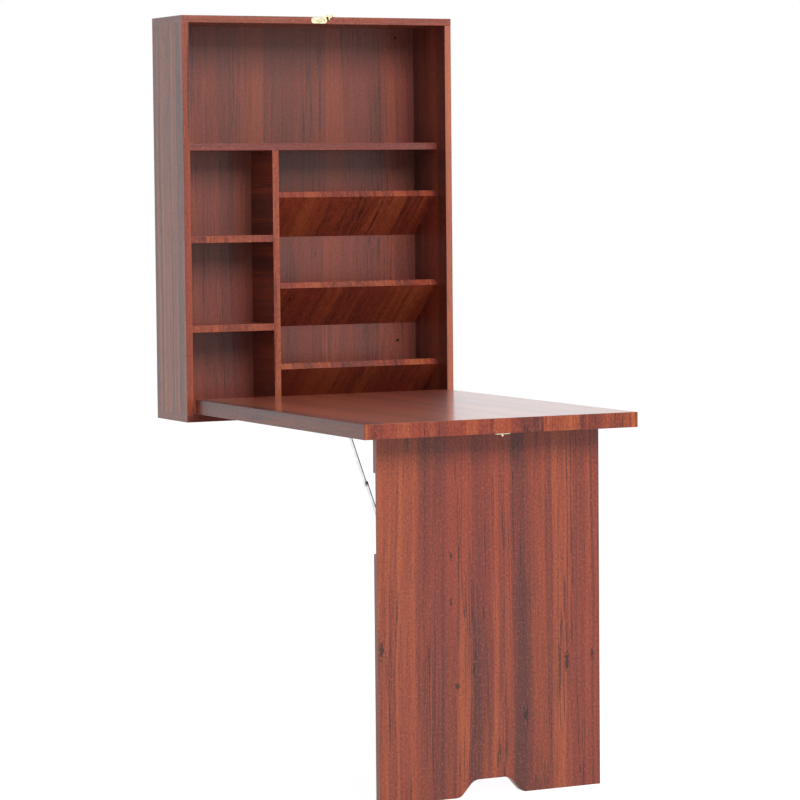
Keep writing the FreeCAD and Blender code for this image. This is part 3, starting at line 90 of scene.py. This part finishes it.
def vector_node(tree, operation, *values):
    """Output of a vector maths node on two values."""
    return add(tree, "ShaderNodeVectorMath", dict(enumerate(values)), operation=operation).outputs[0]


def weighted(tree, first, *others):
    """Sum of values, each given with its weight."""
    total = math_node(tree, "MULTIPLY", *first)
    for value, weight in others:
        total = math_node(tree, "MULTIPLY_ADD", value, weight, total)
    return total


def spread(tree, value, low, high, start=0.0, end=1.0):
    """Value remapped from low..high to start..end, smoothly and held at the ends."""
    inputs = {"Value": value, "From Min": low, "From Max": high, "To Min": start, "To Max": end}
    return add(tree, "ShaderNodeMapRange", inputs, interpolation_type="SMOOTHSTEP").outputs[0]


def noise(tree, vector, scale, detail, roughness=0.5, output=0):
    """Noise whose scale is given for each axis in features to the metre."""
    stretched = vector_node(tree, "MULTIPLY", vector, scale)
    inputs = {"Vector": stretched, "Scale": 1.0, "Detail": detail, "Roughness": roughness}
    return add(tree, "ShaderNodeTexNoise", inputs).outputs[output]


def mix(tree, kind, factor, first, second):
    """Two vectors or two colours mixed by a factor."""
    low, high, out = MIX_SOCKETS[kind]
    return add(tree, "ShaderNodeMix", {0: factor, low: first, high: second}, data_type=kind).outputs[out]


def mix_colour(tree, factor, first, second):
    """Two colours mixed by a factor."""
    return mix(tree, "RGBA", factor, first, second)


def object_place(tree):
    """Place on the surface in the frame of the part."""
    return add(tree, "ShaderNodeTexCoord").outputs["Object"]


def split(tree, vector):
    """Three parts of a vector, found by their number or their axis."""
    return add(tree, "ShaderNodeSeparateXYZ", {0: vector}).outputs


def first_channel(tree, colour):
    """Red of a colour, as a random number of a cell."""
    return add(tree, "ShaderNodeSeparateColor", {0: colour}).outputs[0]


def bump(tree, height, distance, strength):
    """Normal of a surface with small relief, its depth in metres."""
    inputs = {"Height": height, "Distance": distance, "Strength": strength}
    return add(tree, "ShaderNodeBump", inputs).outputs[0]


def new_material(name):
    """Empty material: its tree and its surface shader."""
    material = bpy.data.materials.new(name)
    material.use_nodes = True
    tree = material.node_tree
    tree.nodes.clear()
    shader = add(tree, "ShaderNodeBsdfPrincipled")
    add(tree, "ShaderNodeOutputMaterial", {"Surface": shader.outputs[0]})
    return material, tree, shader


# Colours of the mahogany print, its tones from dark to light
WOOD_TONES = (
    (0.00, shade(88, 42, 37)),
    (0.22, shade(110, 50, 40)),
    (0.48, shade(138, 61, 42)),
    (0.74, shade(156, 72, 45)),
    (1.00, shade(176, 92, 54)),
)
# Dark of the print's lines and pores, also used as painted shade in the hollows of the emboss
LINE_AND_SHADE_COLOUR = shade(52, 26, 27)
# Pale brown painted as a highlight on the crests of the emboss
CREST_HIGHLIGHT_COLOUR = shade(196, 112, 84)
KNOT_COLOUR = shade(30, 16, 16)
RED_CAST = shade(148, 58, 46)
# Grey brown mixed into boards of the cabinet as painted shade
SHADE_GREY_BROWN = shade(96, 68, 62)
PALE_BROWN = shade(214, 134, 104)

# Noise of the print: features to the metre across, through and along the grain, detail, roughness
DRIFT = ((2.4, 2.4, 0.9), 1.0)
BROAD = ((15, 15, 0.35), 2.0, 0.55)
STREAK = ((70, 70, 0.7), 3.0, 0.6)
FINE = ((380, 380, 4.5), 2.0, 0.6)
PORE = ((850, 850, 16), 1.0)
PATCH = ((7, 7, 1.6), 1.0)
PEBBLE = ((240, 240, 190), 1.0)
LINE_PLACES = ((24, 24, 1.7), 1.0)
HAIR = ((210, 210, 0.8), 1.0)
BUNDLES = ((13, 13, 0.8), 1.0)
BAND_DRIFT = ((1.5, 1.5, 2.5), 1.0)
KNOT_RAG = ((420, 420, 150), 2.0)

# Where a mark of the print starts and is whole, as levels of its noise, and its least and most strength
TONE_SPAN = (0.30, 0.70)
WARM_SPAN = (0.42, 0.66, 0.0, 0.42)
LINE_SPAN = (0.024, 0.004)
LINE_PLACES_SPAN = (0.45, 0.58, 0.0, 0.80)
HAIR_SPAN = (0.60, 0.68)
BUNDLES_SPAN = (0.44, 0.60, 0.08, 0.46)
CELL_KNOT_SPAN = (0.25, 0.185)
# Painted shade of the emboss's hollows and painted highlight on its crests
HOLLOW_SPAN = (0.48, 0.28, 0.0, 0.38)
CREST_SPAN = (0.53, 0.72, 0.0, 0.24)
PIT_SPAN = (0.60, 0.70)

# Shares of the layers in the tone, the roughness and the relief of the print
BROAD_TONE = 0.32
STRIP_TONE = 0.17
STREAK_TONE = 0.28
FINE_TONE = 0.22
PLAIN_ROUGHNESS = 0.25
PIT_ROUGHNESS = 0.12
FINE_ROUGHNESS = 0.10
FINE_HEIGHT = 0.6
STREAK_HEIGHT = 3.0
PEBBLE_HEIGHT = 1.2
PIT_HEIGHT = -0.4

# Other values of the print
TONE_MIDDLE = 0.5
SWAY = (0.05, 0.05, 0.0)
STRIPS_TO_THE_METRE = 30.0
STRIP_SOFTNESS = 0.12
KNOT_CELLS = (22, 22, 5.2)
CELL_KNOT_RAG = 0.26
KNOT_STRENGTH = 0.85
PIT_STRENGTH = 0.35


def swayed(tree, vector):
    """Vector that drifts slowly across the grain."""
    drift = noise(tree, vector, *DRIFT, output="Color")
    centred = vector_node(tree, "SUBTRACT", drift, (NOISE_MIDDLE, NOISE_MIDDLE, NOISE_MIDDLE))
    return vector_node(tree, "ADD", vector, vector_node(tree, "MULTIPLY", centred, SWAY))


def strip_tone(tree, vector):
    """Random tone of each straight strip of the print."""
    parts = split(tree, vector)
    across = math_node(tree, "MULTIPLY", math_node(tree, "ADD", parts[0], parts[1]), STRIPS_TO_THE_METRE)
    inputs = {"W": across, "Scale": 1.0, "Smoothness": STRIP_SOFTNESS}
    strips = add(tree, "ShaderNodeTexVoronoi", inputs, voronoi_dimensions="1D", feature="SMOOTH_F1")
    return first_channel(tree, strips.outputs["Color"])


def wood_colour(tree, level):
    """Colour of the plain print at a level from dark to light."""
    ramp = add(tree, "ShaderNodeValToRGB", {0: level})
    ramp.color_ramp.interpolation = "B_SPLINE"
    stops = ramp.color_ramp.elements
    while len(stops) < len(WOOD_TONES):
        stops.new(TONE_MIDDLE)
    for stop, (place, colour) in zip(stops, WOOD_TONES):
        stop.position = place
        stop.color = colour
    return ramp.outputs[0]


def plain_print(tree, vector, streak, fine, given):
    """Bands and streaks of the print, some of them redder."""
    broad = noise(tree, vector, *BROAD)
    tone = weighted(tree, (strip_tone(tree, vector), STRIP_TONE), (broad, BROAD_TONE),
                    (streak, STREAK_TONE), (fine, FINE_TONE))
    deviation = math_node(tree, "SUBTRACT", spread(tree, tone, *TONE_SPAN), TONE_MIDDLE)
    level = math_node(tree, "ADD", given["Lift"], TONE_MIDDLE)
    lifted = math_node(tree, "MULTIPLY_ADD", deviation, given["Contrast"], level)
    warmth = spread(tree, noise(tree, vector, *PATCH), *WARM_SPAN)
    return mix_colour(tree, warmth, wood_colour(tree, lifted), RED_CAST)


def lined(tree, colour, vector, line):
    """Print with long dark lines and with bundles of short fine strokes."""
    shown = spread(tree, noise(tree, vector, *LINE_PLACES), *LINE_PLACES_SPAN)
    colour = mix_colour(tree, math_node(tree, "MULTIPLY", line, shown), colour, LINE_AND_SHADE_COLOUR)
    stroke = spread(tree, noise(tree, vector, *HAIR), *HAIR_SPAN)
    bundle = spread(tree, noise(tree, vector, *BUNDLES), *BUNDLES_SPAN)
    return mix_colour(tree, math_node(tree, "MULTIPLY", stroke, bundle), colour, LINE_AND_SHADE_COLOUR)


def scattered(tree, colour, vector, pebble, share):
    """Print with a ragged knot in a share of its cells."""
    grid = vector_node(tree, "MULTIPLY", vector, KNOT_CELLS)
    cells = add(tree, "ShaderNodeTexVoronoi", {"Vector": grid, "Scale": 1.0})
    chosen = math_node(tree, "LESS_THAN", first_channel(tree, cells.outputs["Color"]), share)
    ragged = math_node(tree, "MULTIPLY_ADD", pebble, CELL_KNOT_RAG, cells.outputs["Distance"])
    knot = math_node(tree, "MULTIPLY", spread(tree, ragged, *CELL_KNOT_SPAN), chosen)
    return mix_colour(tree, math_node(tree, "MULTIPLY", knot, KNOT_STRENGTH), colour, KNOT_COLOUR)


def painted_pebble_light(tree, colour, pebble, contrast):
    """Print with painted shade in the hollows and a painted highlight on the crests of its embossed face.
    """
    strength = math_node(tree, "MINIMUM", contrast, 1.0)
    hollow = math_node(tree, "MULTIPLY", spread(tree, pebble, *HOLLOW_SPAN), strength)
    colour = mix_colour(tree, hollow, colour, LINE_AND_SHADE_COLOUR)
    crest = math_node(tree, "MULTIPLY", spread(tree, pebble, *CREST_SPAN), strength)
    return mix_colour(tree, crest, colour, CREST_HIGHLIGHT_COLOUR)


def mahogany_figure():
    """Node group of the printed grain along Z of its vector, with its colour, roughness and relief."""
    tree = bpy.data.node_groups.new("mahogany_figure", "ShaderNodeTree")
    tree.interface.new_socket("Vector", in_out="INPUT", socket_type="NodeSocketVector")
    for name in ("Lift", "Contrast", "Knots"):
        tree.interface.new_socket(name, in_out="INPUT", socket_type="NodeSocketFloat")
    tree.interface.new_socket("Colour", in_out="OUTPUT", socket_type="NodeSocketColor")
    for name in ("Roughness", "Height"):
        tree.interface.new_socket(name, in_out="OUTPUT", socket_type="NodeSocketFloat")
    given = add(tree, "NodeGroupInput").outputs

    vector = swayed(tree, given["Vector"])
    streak = noise(tree, vector, *STREAK)
    fine = noise(tree, vector, *FINE)
    pebble = noise(tree, given["Vector"], *PEBBLE)
    pit = spread(tree, noise(tree, vector, *PORE), *PIT_SPAN)
    crossing = math_node(tree, "ABSOLUTE", math_node(tree, "SUBTRACT", streak, NOISE_MIDDLE))
    line = spread(tree, crossing, *LINE_SPAN)

    colour = plain_print(tree, vector, streak, fine, given)
    colour = lined(tree, colour, vector, line)
    colour = scattered(tree, colour, vector, pebble, given["Knots"])
    # Painted shade in the hollows and painted highlight on the crests of the emboss
    colour = painted_pebble_light(tree, colour, pebble, given["Contrast"])
    colour = mix_colour(tree, math_node(tree, "MULTIPLY", pit, PIT_STRENGTH), colour, LINE_AND_SHADE_COLOUR)

    pitted = math_node(tree, "MULTIPLY_ADD", pit, PIT_ROUGHNESS, PLAIN_ROUGHNESS)
    roughness = math_node(tree, "MULTIPLY_ADD", fine, FINE_ROUGHNESS, pitted)
    sunk = math_node(tree, "ADD", pit, line)
    height = weighted(tree, (fine, FINE_HEIGHT), (streak, STREAK_HEIGHT), (pebble, PEBBLE_HEIGHT),
                      (sunk, PIT_HEIGHT))
    add(tree, "NodeGroupOutput", {"Colour": colour, "Roughness": roughness, "Height": height})
    return tree


# Boards: least part of a normal along the axis that a face looks along, and values of their finish
FACING = 0.7
LEVEL_FACING = 0.98
FIGURE = mahogany_figure()
SEED_STEP = Vector((3.17, 1.93, 5.71))
BOARD_RELIEF = 0.00025
BOARD_RELIEF_STRENGTH = 0.8
BOARD_IOR = 1.48
DESK_RELIEF = 0.00003
DESK_IOR = 1.40
DESK_GLOSS = 0.50
DESK_VEIL = 0.45

# Marks at chosen places: sway of a band, its soft edge in half widths, rag and edge of a knot in half sizes
BAND_SWAY = 0.02
BAND_EDGE = (1.25, 0.7)
KNOT_RAG_DEPTH = 3.0
KNOT_EDGE = (1.0, 0.5)


def grain_vector(tree, grain, end_grain, slope):
    """Vector whose Z follows the grain on every face of a board, with the parts of the face's normal."""
    coordinates = add(tree, "ShaderNodeTexCoord")
    place, facing = coordinates.outputs["Object"], coordinates.outputs["Normal"]
    if slope:
        turned = []
        for vector in (place, facing):
            inputs = {"Vector": vector, "Angle": slope}
            turned.append(add(tree, "ShaderNodeVectorRotate", inputs, rotation_type="X_AXIS").outputs[0])
        place, facing = turned
    parts = split(tree, place)

    def ordered(axes):
        """Coordinates taken in the order of the axes."""
        return add(tree, "ShaderNodeCombineXYZ", dict(enumerate(parts[axis] for axis in axes))).outputs[0]

    long_face = ordered([*(axis for axis in AXES if axis != grain), grain])
    end_face = ordered([*(axis for axis in AXES if axis not in (grain, end_grain)), grain, end_grain])
    normals = split(tree, facing)
    is_end = math_node(tree, "GREATER_THAN", math_node(tree, "ABSOLUTE", normals[grain]), FACING)
    return mix(tree, "VECTOR", is_end, long_face, end_face), normals


def banded(tree, lift, axis, bands):
    """Lift of a print with straight bands up the board, lighter or darker than the rest across the axis."""
    place = object_place(tree)
    sway = math_node(tree, "SUBTRACT", noise(tree, place, *BAND_DRIFT), NOISE_MIDDLE)
    across = math_node(tree, "MULTIPLY_ADD", sway, BAND_SWAY, split(tree, place)[axis])
    for middle, half_width, tone in bands:
        away = math_node(tree, "ABSOLUTE", math_node(tree, "SUBTRACT", across, middle))
        inside = spread(tree, away, *(edge * half_width for edge in BAND_EDGE))
        lift = math_node(tree, "MULTIPLY_ADD", inside, tone, lift)
    return lift


def knotted(tree, colour, knots):
    """Print with ragged dark knots at chosen places of an upright board."""
    place = object_place(tree)
    ragged = math_node(tree, "SUBTRACT", noise(tree, place, *KNOT_RAG), NOISE_MIDDLE)
    for x, z, half_width, half_height in knots:
        offset = vector_node(tree, "SUBTRACT", place, (x, 0.0, z))
        scaled = vector_node(tree, "MULTIPLY", offset, (1.0 / half_width, 0.0, 1.0 / half_height))
        away = add(tree, "ShaderNodeVectorMath", {0: scaled}, operation="LENGTH").outputs["Value"]
        edge = math_node(tree, "MULTIPLY_ADD", ragged, KNOT_RAG_DEPTH, away)
        inside = spread(tree, edge, *KNOT_EDGE, 0.0, KNOT_STRENGTH)
        colour = mix_colour(tree, inside, colour, KNOT_COLOUR)
    return colour


def wood(name, seed, board):
    """Mahogany laminate of one board, its print unlike that of the other boards."""
    material, tree, shader = new_material(name)
    turned, normals = grain_vector(tree, board.grain, board.end_grain, board.slope)
    is_front = math_node(tree, "LESS_THAN", normals["Y"], -FACING)

    def by_face(faces, front):
        """One value on the faces of the board and another on its front."""
        return math_node(tree, "MULTIPLY_ADD", is_front, front - faces, faces)

    inputs = {
        "Vector": vector_node(tree, "ADD", turned, SEED_STEP * seed),
        "Lift": banded(tree, by_face(*board.lift), board.end_grain, board.bands),
        "Contrast": by_face(*board.contrast),
        "Knots": board.knots,
    }
    figure = add(tree, "ShaderNodeGroup", inputs, node_tree=FIGURE).outputs
    knotty = knotted(tree, figure["Colour"], board.knot_places)
    # Share of grey brown: painted shade of the cabinet boards
    dulled = mix_colour(tree, board.dull, knotty, SHADE_GREY_BROWN)
    paled = mix_colour(tree, math_node(tree, "MULTIPLY", is_front, board.front_pale), dulled, PALE_BROWN)
    tree.links.new(paled, shader.inputs["Base Color"])
    roughness, relief = figure["Roughness"], BOARD_RELIEF
    shader.inputs["IOR"].default_value = BOARD_IOR
    if board.glossy_top:
        is_top = math_node(tree, "GREATER_THAN", normals["Z"], LEVEL_FACING)
        share = math_node(tree, "MULTIPLY_ADD", is_top, DESK_GLOSS - 1.0, 1.0)
        roughness, relief = math_node(tree, "MULTIPLY", roughness, share), DESK_RELIEF
        tree.links.new(is_top, shader.inputs["Coat Weight"])
        shader.inputs["Coat Roughness"].default_value = DESK_VEIL
        shader.inputs["IOR"].default_value = DESK_IOR
    tree.links.new(roughness, shader.inputs["Roughness"])
    normal = bump(tree, figure["Height"], relief, BOARD_RELIEF_STRENGTH)
    tree.links.new(normal, shader.inputs["Normal"])
    return material


# Slope of the magazine boards, falling to the back
POCKET_SLOPE = math.radians(39)

# Bands of the left side's print and of the leg's: middle, half width, and how much lighter than the rest
SIDE_BANDS = (
    (-0.145, 0.003, -0.50),
    (-0.132, 0.005, -0.80),
    (-0.104, 0.020, -0.35),
    (-0.093, 0.004, -0.80),
    (-0.046, 0.007, 0.50),
    (-0.034, 0.005, -1.20),
)
LEG_BANDS = (
    (-0.125, 0.022, -0.22),
    (-0.035, 0.011, -0.18),
    (0.025, 0.024, 0.22),
    (0.065, 0.013, -0.34),
    (0.133, 0.011, -0.16),
    (0.200, 0.034, 0.26),
    (0.226, 0.003, -0.50),
)

# Knots of the leg's print: across, height, half width and half height
LEG_KNOTS = (
    (-0.236, -0.876, 0.005, 0.020),
    (-0.085, -0.703, 0.003, 0.009),
    (-0.086, -0.792, 0.003, 0.010),
    (-0.037, -0.927, 0.003, 0.013),
    (-0.073, -0.957, 0.006, 0.007),
    (0.169, -0.926, 0.006, 0.024),
    (0.226, -0.915, 0.003, 0.015),
)


class Board:
    """Print of a board.

    The grain runs along one axis, and the print on the ends across the grain along another. The slope
    turns the print with a tilted board. The lift is how much lighter than the plain print the faces and
    the front are, the contrast how strong their figure is, the shade grey its share of grey brown,
    painted shade on boards of the cabinet, and the paleness the share of pale brown on the front.
    Knots is the share of the print's cells that hold one.
    Bands and knot places are marks of this board alone, and a glossy top has the sheen of the desk.
    """

    def __init__(self, grain, end_grain, slope=0.0, lift=(0.0, 0.0), contrast=(1.0, 1.0), dull=0.0,
                 front_pale=0.0, knots=0.15, bands=(), knot_places=(), glossy_top=False):
        self.grain, self.end_grain, self.slope = grain, end_grain, slope
        self.lift, self.contrast = lift, contrast
        self.dull, self.front_pale, self.knots = dull, front_pale, knots
        self.bands, self.knot_places = bands, knot_places
        self.glossy_top = glossy_top


CUBBY_SHELF = Board("Y", "Z", lift=(0.0, 0.10))
MAGAZINE_BOARD = Board("Y", "Z", POCKET_SLOPE, lift=(0.22, 0.10))
# A board's share of grey brown is painted shade of the cabinet
BOARDS = {
    "top_panel": Board("X", "Y", lift=(0.30, -0.10), dull=0.15),
    "bottom_panel": Board("X", "Y", lift=(0.0, -0.10), dull=0.15),
    "left_side_panel": Board("Z", "Y", lift=(0.14, 0.20), contrast=(1.7, 0.9), bands=SIDE_BANDS),
    "right_side_panel": Board("Z", "Y", lift=(-0.22, 0.50), contrast=(1.0, 0.9), dull=0.10,
                              front_pale=0.29),
    "back_panel": Board("Z", "X", contrast=(0.65, 0.65), dull=0.35, knots=0.0),
    "upper_shelf": Board("X", "Y", lift=(0.0, -0.18), dull=0.15),
    "divider": Board("Y", "Z", lift=(0.0, 0.14)),
    "cubby_shelf_high": CUBBY_SHELF,
    "cubby_shelf_low": CUBBY_SHELF,
    "magazine_board_high": MAGAZINE_BOARD,
    "magazine_board_middle": MAGAZINE_BOARD,
    "magazine_board_low": MAGAZINE_BOARD,
    "desk_panel": Board("Y", "Z", lift=(0.08, 0.19), contrast=(1.2, 1.4), glossy_top=True),
    "leg_panel": Board("Z", "X", lift=(0.02, 0.02), bands=LEG_BANDS, knot_places=LEG_KNOTS),
}

# Metals: features to the metre of the rolling marks and of worn clouds, and how strong both are
ROLLED = (900, 120, 900)
ROUND = (700, 700, 700)
MARK_DETAIL = 3.0
MARK_FINENESS = 0.6
MARK_ROUGHNESS = 0.14
MARK_STRENGTH = 0.25
CLOUD = ((60, 60, 60), 2.0)
CLOUD_SPAN = (0.35, 0.65)
WORN_LEVEL = 0.86

# Raw wood of the dowels
DOWEL_DARK = shade(178, 140, 98)
DOWEL_PALE = shade(214, 180, 134)
DOWEL_GRAIN = ((40, 500, 500), 3.0)
DOWEL_SPAN = (0.35, 0.65)
DOWEL_RELIEF = 0.0003
DOWEL_RELIEF_STRENGTH = 0.3
DOWEL_ROUGHNESS = 0.7


def metal(name, colour, roughness, marks, relief):
    """Metal with fine rolling marks, given for each axis in features to the metre."""
    material, tree, shader = new_material(name)
    place = object_place(tree)
    rolled = noise(tree, place, marks, MARK_DETAIL, MARK_FINENESS)
    clouded = spread(tree, noise(tree, place, *CLOUD), *CLOUD_SPAN)
    worn = tuple(level * WORN_LEVEL for level in colour[:3]) + (1.0,)
    tree.links.new(mix_colour(tree, clouded, worn, colour), shader.inputs["Base Color"])
    marked = math_node(tree, "MULTIPLY_ADD", rolled, MARK_ROUGHNESS, roughness)
    tree.links.new(marked, shader.inputs["Roughness"])
    tree.links.new(bump(tree, rolled, relief, MARK_STRENGTH), shader.inputs["Normal"])
    shader.inputs["Metallic"].default_value = 1.0
    return material


def raw_wood(name):
    """Pale turned dowel wood."""
    material, tree, shader = new_material(name)
    grain = noise(tree, object_place(tree), *DOWEL_GRAIN)
    tone = mix_colour(tree, spread(tree, grain, *DOWEL_SPAN), DOWEL_DARK, DOWEL_PALE)
    tree.links.new(tone, shader.inputs["Base Color"])
    tree.links.new(bump(tree, grain, DOWEL_RELIEF, DOWEL_RELIEF_STRENGTH), shader.inputs["Normal"])
    shader.inputs["Roughness"].default_value = DOWEL_ROUGHNESS
    return material


def paint(node, material):
    """One finish over a whole node."""
    mesh = frame["nodes"][node].data
    mesh.materials.clear()
    mesh.materials.append(material)


# Finish of every node: a board by its name, and the rest by the material slot
SLOT_FINISHES = {
    "stay_steel": metal("bright_steel", shade(212, 213, 216), roughness=0.20, marks=ROLLED, relief=0.00005),
    "hinge_steel": metal("hinge_steel", shade(206, 206, 210), roughness=0.26, marks=ROLLED, relief=0.00005),
    "screw_zinc": metal("zinc_screw", shade(200, 202, 206), roughness=0.24, marks=ROUND, relief=0.00004),
    "pale_brass": metal("pale_brass", shade(246, 237, 200), roughness=0.18, marks=ROUND, relief=0.00003),
    "dowel_wood": raw_wood("dowel_wood"),
}
for number, (node, board) in enumerate(BOARDS.items(), start=1):
    paint(node, wood(node, number, board))
for subpart in frame["record"]["subparts"]:
    if subpart["material_slot"] in SLOT_FINISHES:
        paint(subpart["node"], SLOT_FINISHES[subpart["material_slot"]])


# Floor, glowing wall discs of painted shade, and white surroundings
FLOOR_REACH = 30.0
FLOOR_GREY = shade(232, 232, 232)
FLOOR_ROUGHNESS = 0.9
FLOOR_WHITE = 0.62
FLOOR_GLOW = 1.48
WORLD_LIGHT = 0.30
WORLD_WHITE = (1.0, 1.0, 1.0, 1.0)
WALL_INSET = 0.0005
WALL_SIDES = 24
# Brown that the wall discs glow with: painted shade in the screw holes
WALL_SHADE_GLOW = shade(66, 44, 40)


def place_in_scene(name, data):
    """Object of a mesh, lamp or camera, linked to the scene."""
    made = bpy.data.objects.new(name, data)
    bpy.context.scene.collection.objects.link(made)
    return made


def flat_mesh(name, corners, faces, material):
    """Mesh of plain faces with one material."""
    mesh = bpy.data.meshes.new(name)
    mesh.from_pydata(corners, [], faces)
    mesh.materials.append(material)
    return mesh


def seen_directly(tree):
    """1 for rays of the camera, of gloss and through glass, and 0 for the light on surfaces."""
    rays = add(tree, "ShaderNodeLightPath").outputs
    direct = math_node(tree, "MAXIMUM", rays["Is Camera Ray"], rays["Is Glossy Ray"])
    return math_node(tree, "MAXIMUM", direct, rays["Is Transmission Ray"])


def cover(tree, share, shader, over):
    """Second shader laid over the surface shader by a share."""
    blend = add(tree, "ShaderNodeMixShader", {0: share, 1: shader.outputs[0], 2: over.outputs[0]})
    output = next(made for made in tree.nodes if made.type == "OUTPUT_MATERIAL")
    tree.links.new(blend.outputs[0], output.inputs["Surface"])


def make_floor():
    """Pale floor that looks white and keeps a soft shadow."""
    material, tree, shader = new_material("pale_floor")
    shader.inputs["Base Color"].default_value = FLOOR_GREY
    shader.inputs["Roughness"].default_value = FLOOR_ROUGHNESS
    white = add(tree, "ShaderNodeEmission", {"Strength": FLOOR_GLOW})
    cover(tree, math_node(tree, "MULTIPLY", seen_directly(tree), FLOOR_WHITE), shader, white)
    corners = [(x * FLOOR_REACH, y * FLOOR_REACH, FLOOR_LEVEL) for x, y in CORNERS]
    floor = place_in_scene("floor", flat_mesh("floor", corners, [range(len(corners))], material))


def make_wall():
    """Glowing brown discs in the back board's screw holes: painted shade of the wall, not there from
    behind.
    """
    material, tree, shader = new_material("glowing_wall_shade")
    shader.inputs["Base Color"].default_value = WALL_SHADE_GLOW
    # The discs glow brown whatever the lamps do: painted shade
    shader.inputs["Emission Color"].default_value = WALL_SHADE_GLOW
    shader.inputs["Emission Strength"].default_value = 1.0
    behind = add(tree, "ShaderNodeNewGeometry").outputs["Backfacing"]
    cover(tree, behind, shader, add(tree, "ShaderNodeBsdfTransparent"))
    holes = next(mount for mount in frame["record"]["mounts"] if mount["name"] == "wall_screws")["dims"]
    half_x = holes["spacing_x_mm"] * MILLIMETRE / 2
    half_z = holes["spacing_y_mm"] * MILLIMETRE / 2
    radius = holes["hole_r_mm"] * MILLIMETRE
    corners, faces = [], []
    for side, level in CORNERS:
        x, z = side * half_x, level * half_z
        faces.append(range(len(corners), len(corners) + WALL_SIDES))
        for step in range(WALL_SIDES):
            turn = 2 * math.pi * step / WALL_SIDES
            corners.append((x + radius * math.cos(turn), -WALL_INSET, z + radius * math.sin(turn)))
    wall = place_in_scene("wall", flat_mesh("wall", corners, faces, material))


def make_world():
    """White surroundings that light surfaces more gently than they look."""
    world = bpy.data.worlds.new("studio")
    world.use_nodes = True
    tree = world.node_tree
    tree.nodes.clear()
    strength = math_node(tree, "MULTIPLY_ADD", seen_directly(tree), 1.0 - WORLD_LIGHT, WORLD_LIGHT)
    sky = add(tree, "ShaderNodeBackground", {"Color": WORLD_WHITE, "Strength": strength})
    add(tree, "ShaderNodeOutputWorld", {"Surface": sky.outputs[0]})
    bpy.context.scene.world = world


# Lamps: place from the middle of the part, size of the soft box and level of its light
LAMPS = {
    "key": (Vector((0.5, -3.8, 2.8)), 2.0, 0.82),
    "rim": (Vector((-2.6, 3.0, 0.6)), 2.4, 0.08),
}


def make_lamp(name, offset, size, level):
    """Square soft box that looks at the middle of the part.

    Level 1 alone lights a facing surface there so that its colour looks as written.
    """
    light = bpy.data.lights.new(name, "AREA")
    light.size = size
    light.energy = level * math.pi ** 2 * offset.length_squared
    box = place_in_scene(name, light)
    box.location = MIDDLE + offset
    box.rotation_euler = (-offset).to_track_quat("-Z", "Y").to_euler()


def make_camera():
    """Camera that stands and looks as the photograph's did."""
    level = math.cos(CAMERA_PITCH)
    ahead = Vector((math.sin(CAMERA_YAW) * level, math.cos(CAMERA_YAW) * level, -math.sin(CAMERA_PITCH)))
    right = Vector((math.cos(CAMERA_YAW), -math.sin(CAMERA_YAW), 0.0))
    up = right.cross(ahead)
    tilted_right = math.cos(CAMERA_ROLL) * right + math.sin(CAMERA_ROLL) * up
    tilted_up = math.cos(CAMERA_ROLL) * up - math.sin(CAMERA_ROLL) * right
    lens = bpy.data.cameras.new("camera")
    lens.sensor_width = SENSOR_WIDTH
    lens.lens = CAMERA_LENS
    lens.clip_end = CAMERA_REACH
    camera = place_in_scene("camera", lens)
    turn = Matrix((tilted_right, tilted_up, -ahead)).transposed().to_4x4()
    camera.matrix_world = Matrix.Translation(CAMERA_PLACE) @ turn
    bpy.context.scene.camera = camera


make_floor()
make_wall()
make_world()
make_camera()
for name, (offset, size, level) in LAMPS.items():
    make_lamp(name, offset, size, level)
bpy.context.scene.view_settings.view_transform = "Standard"
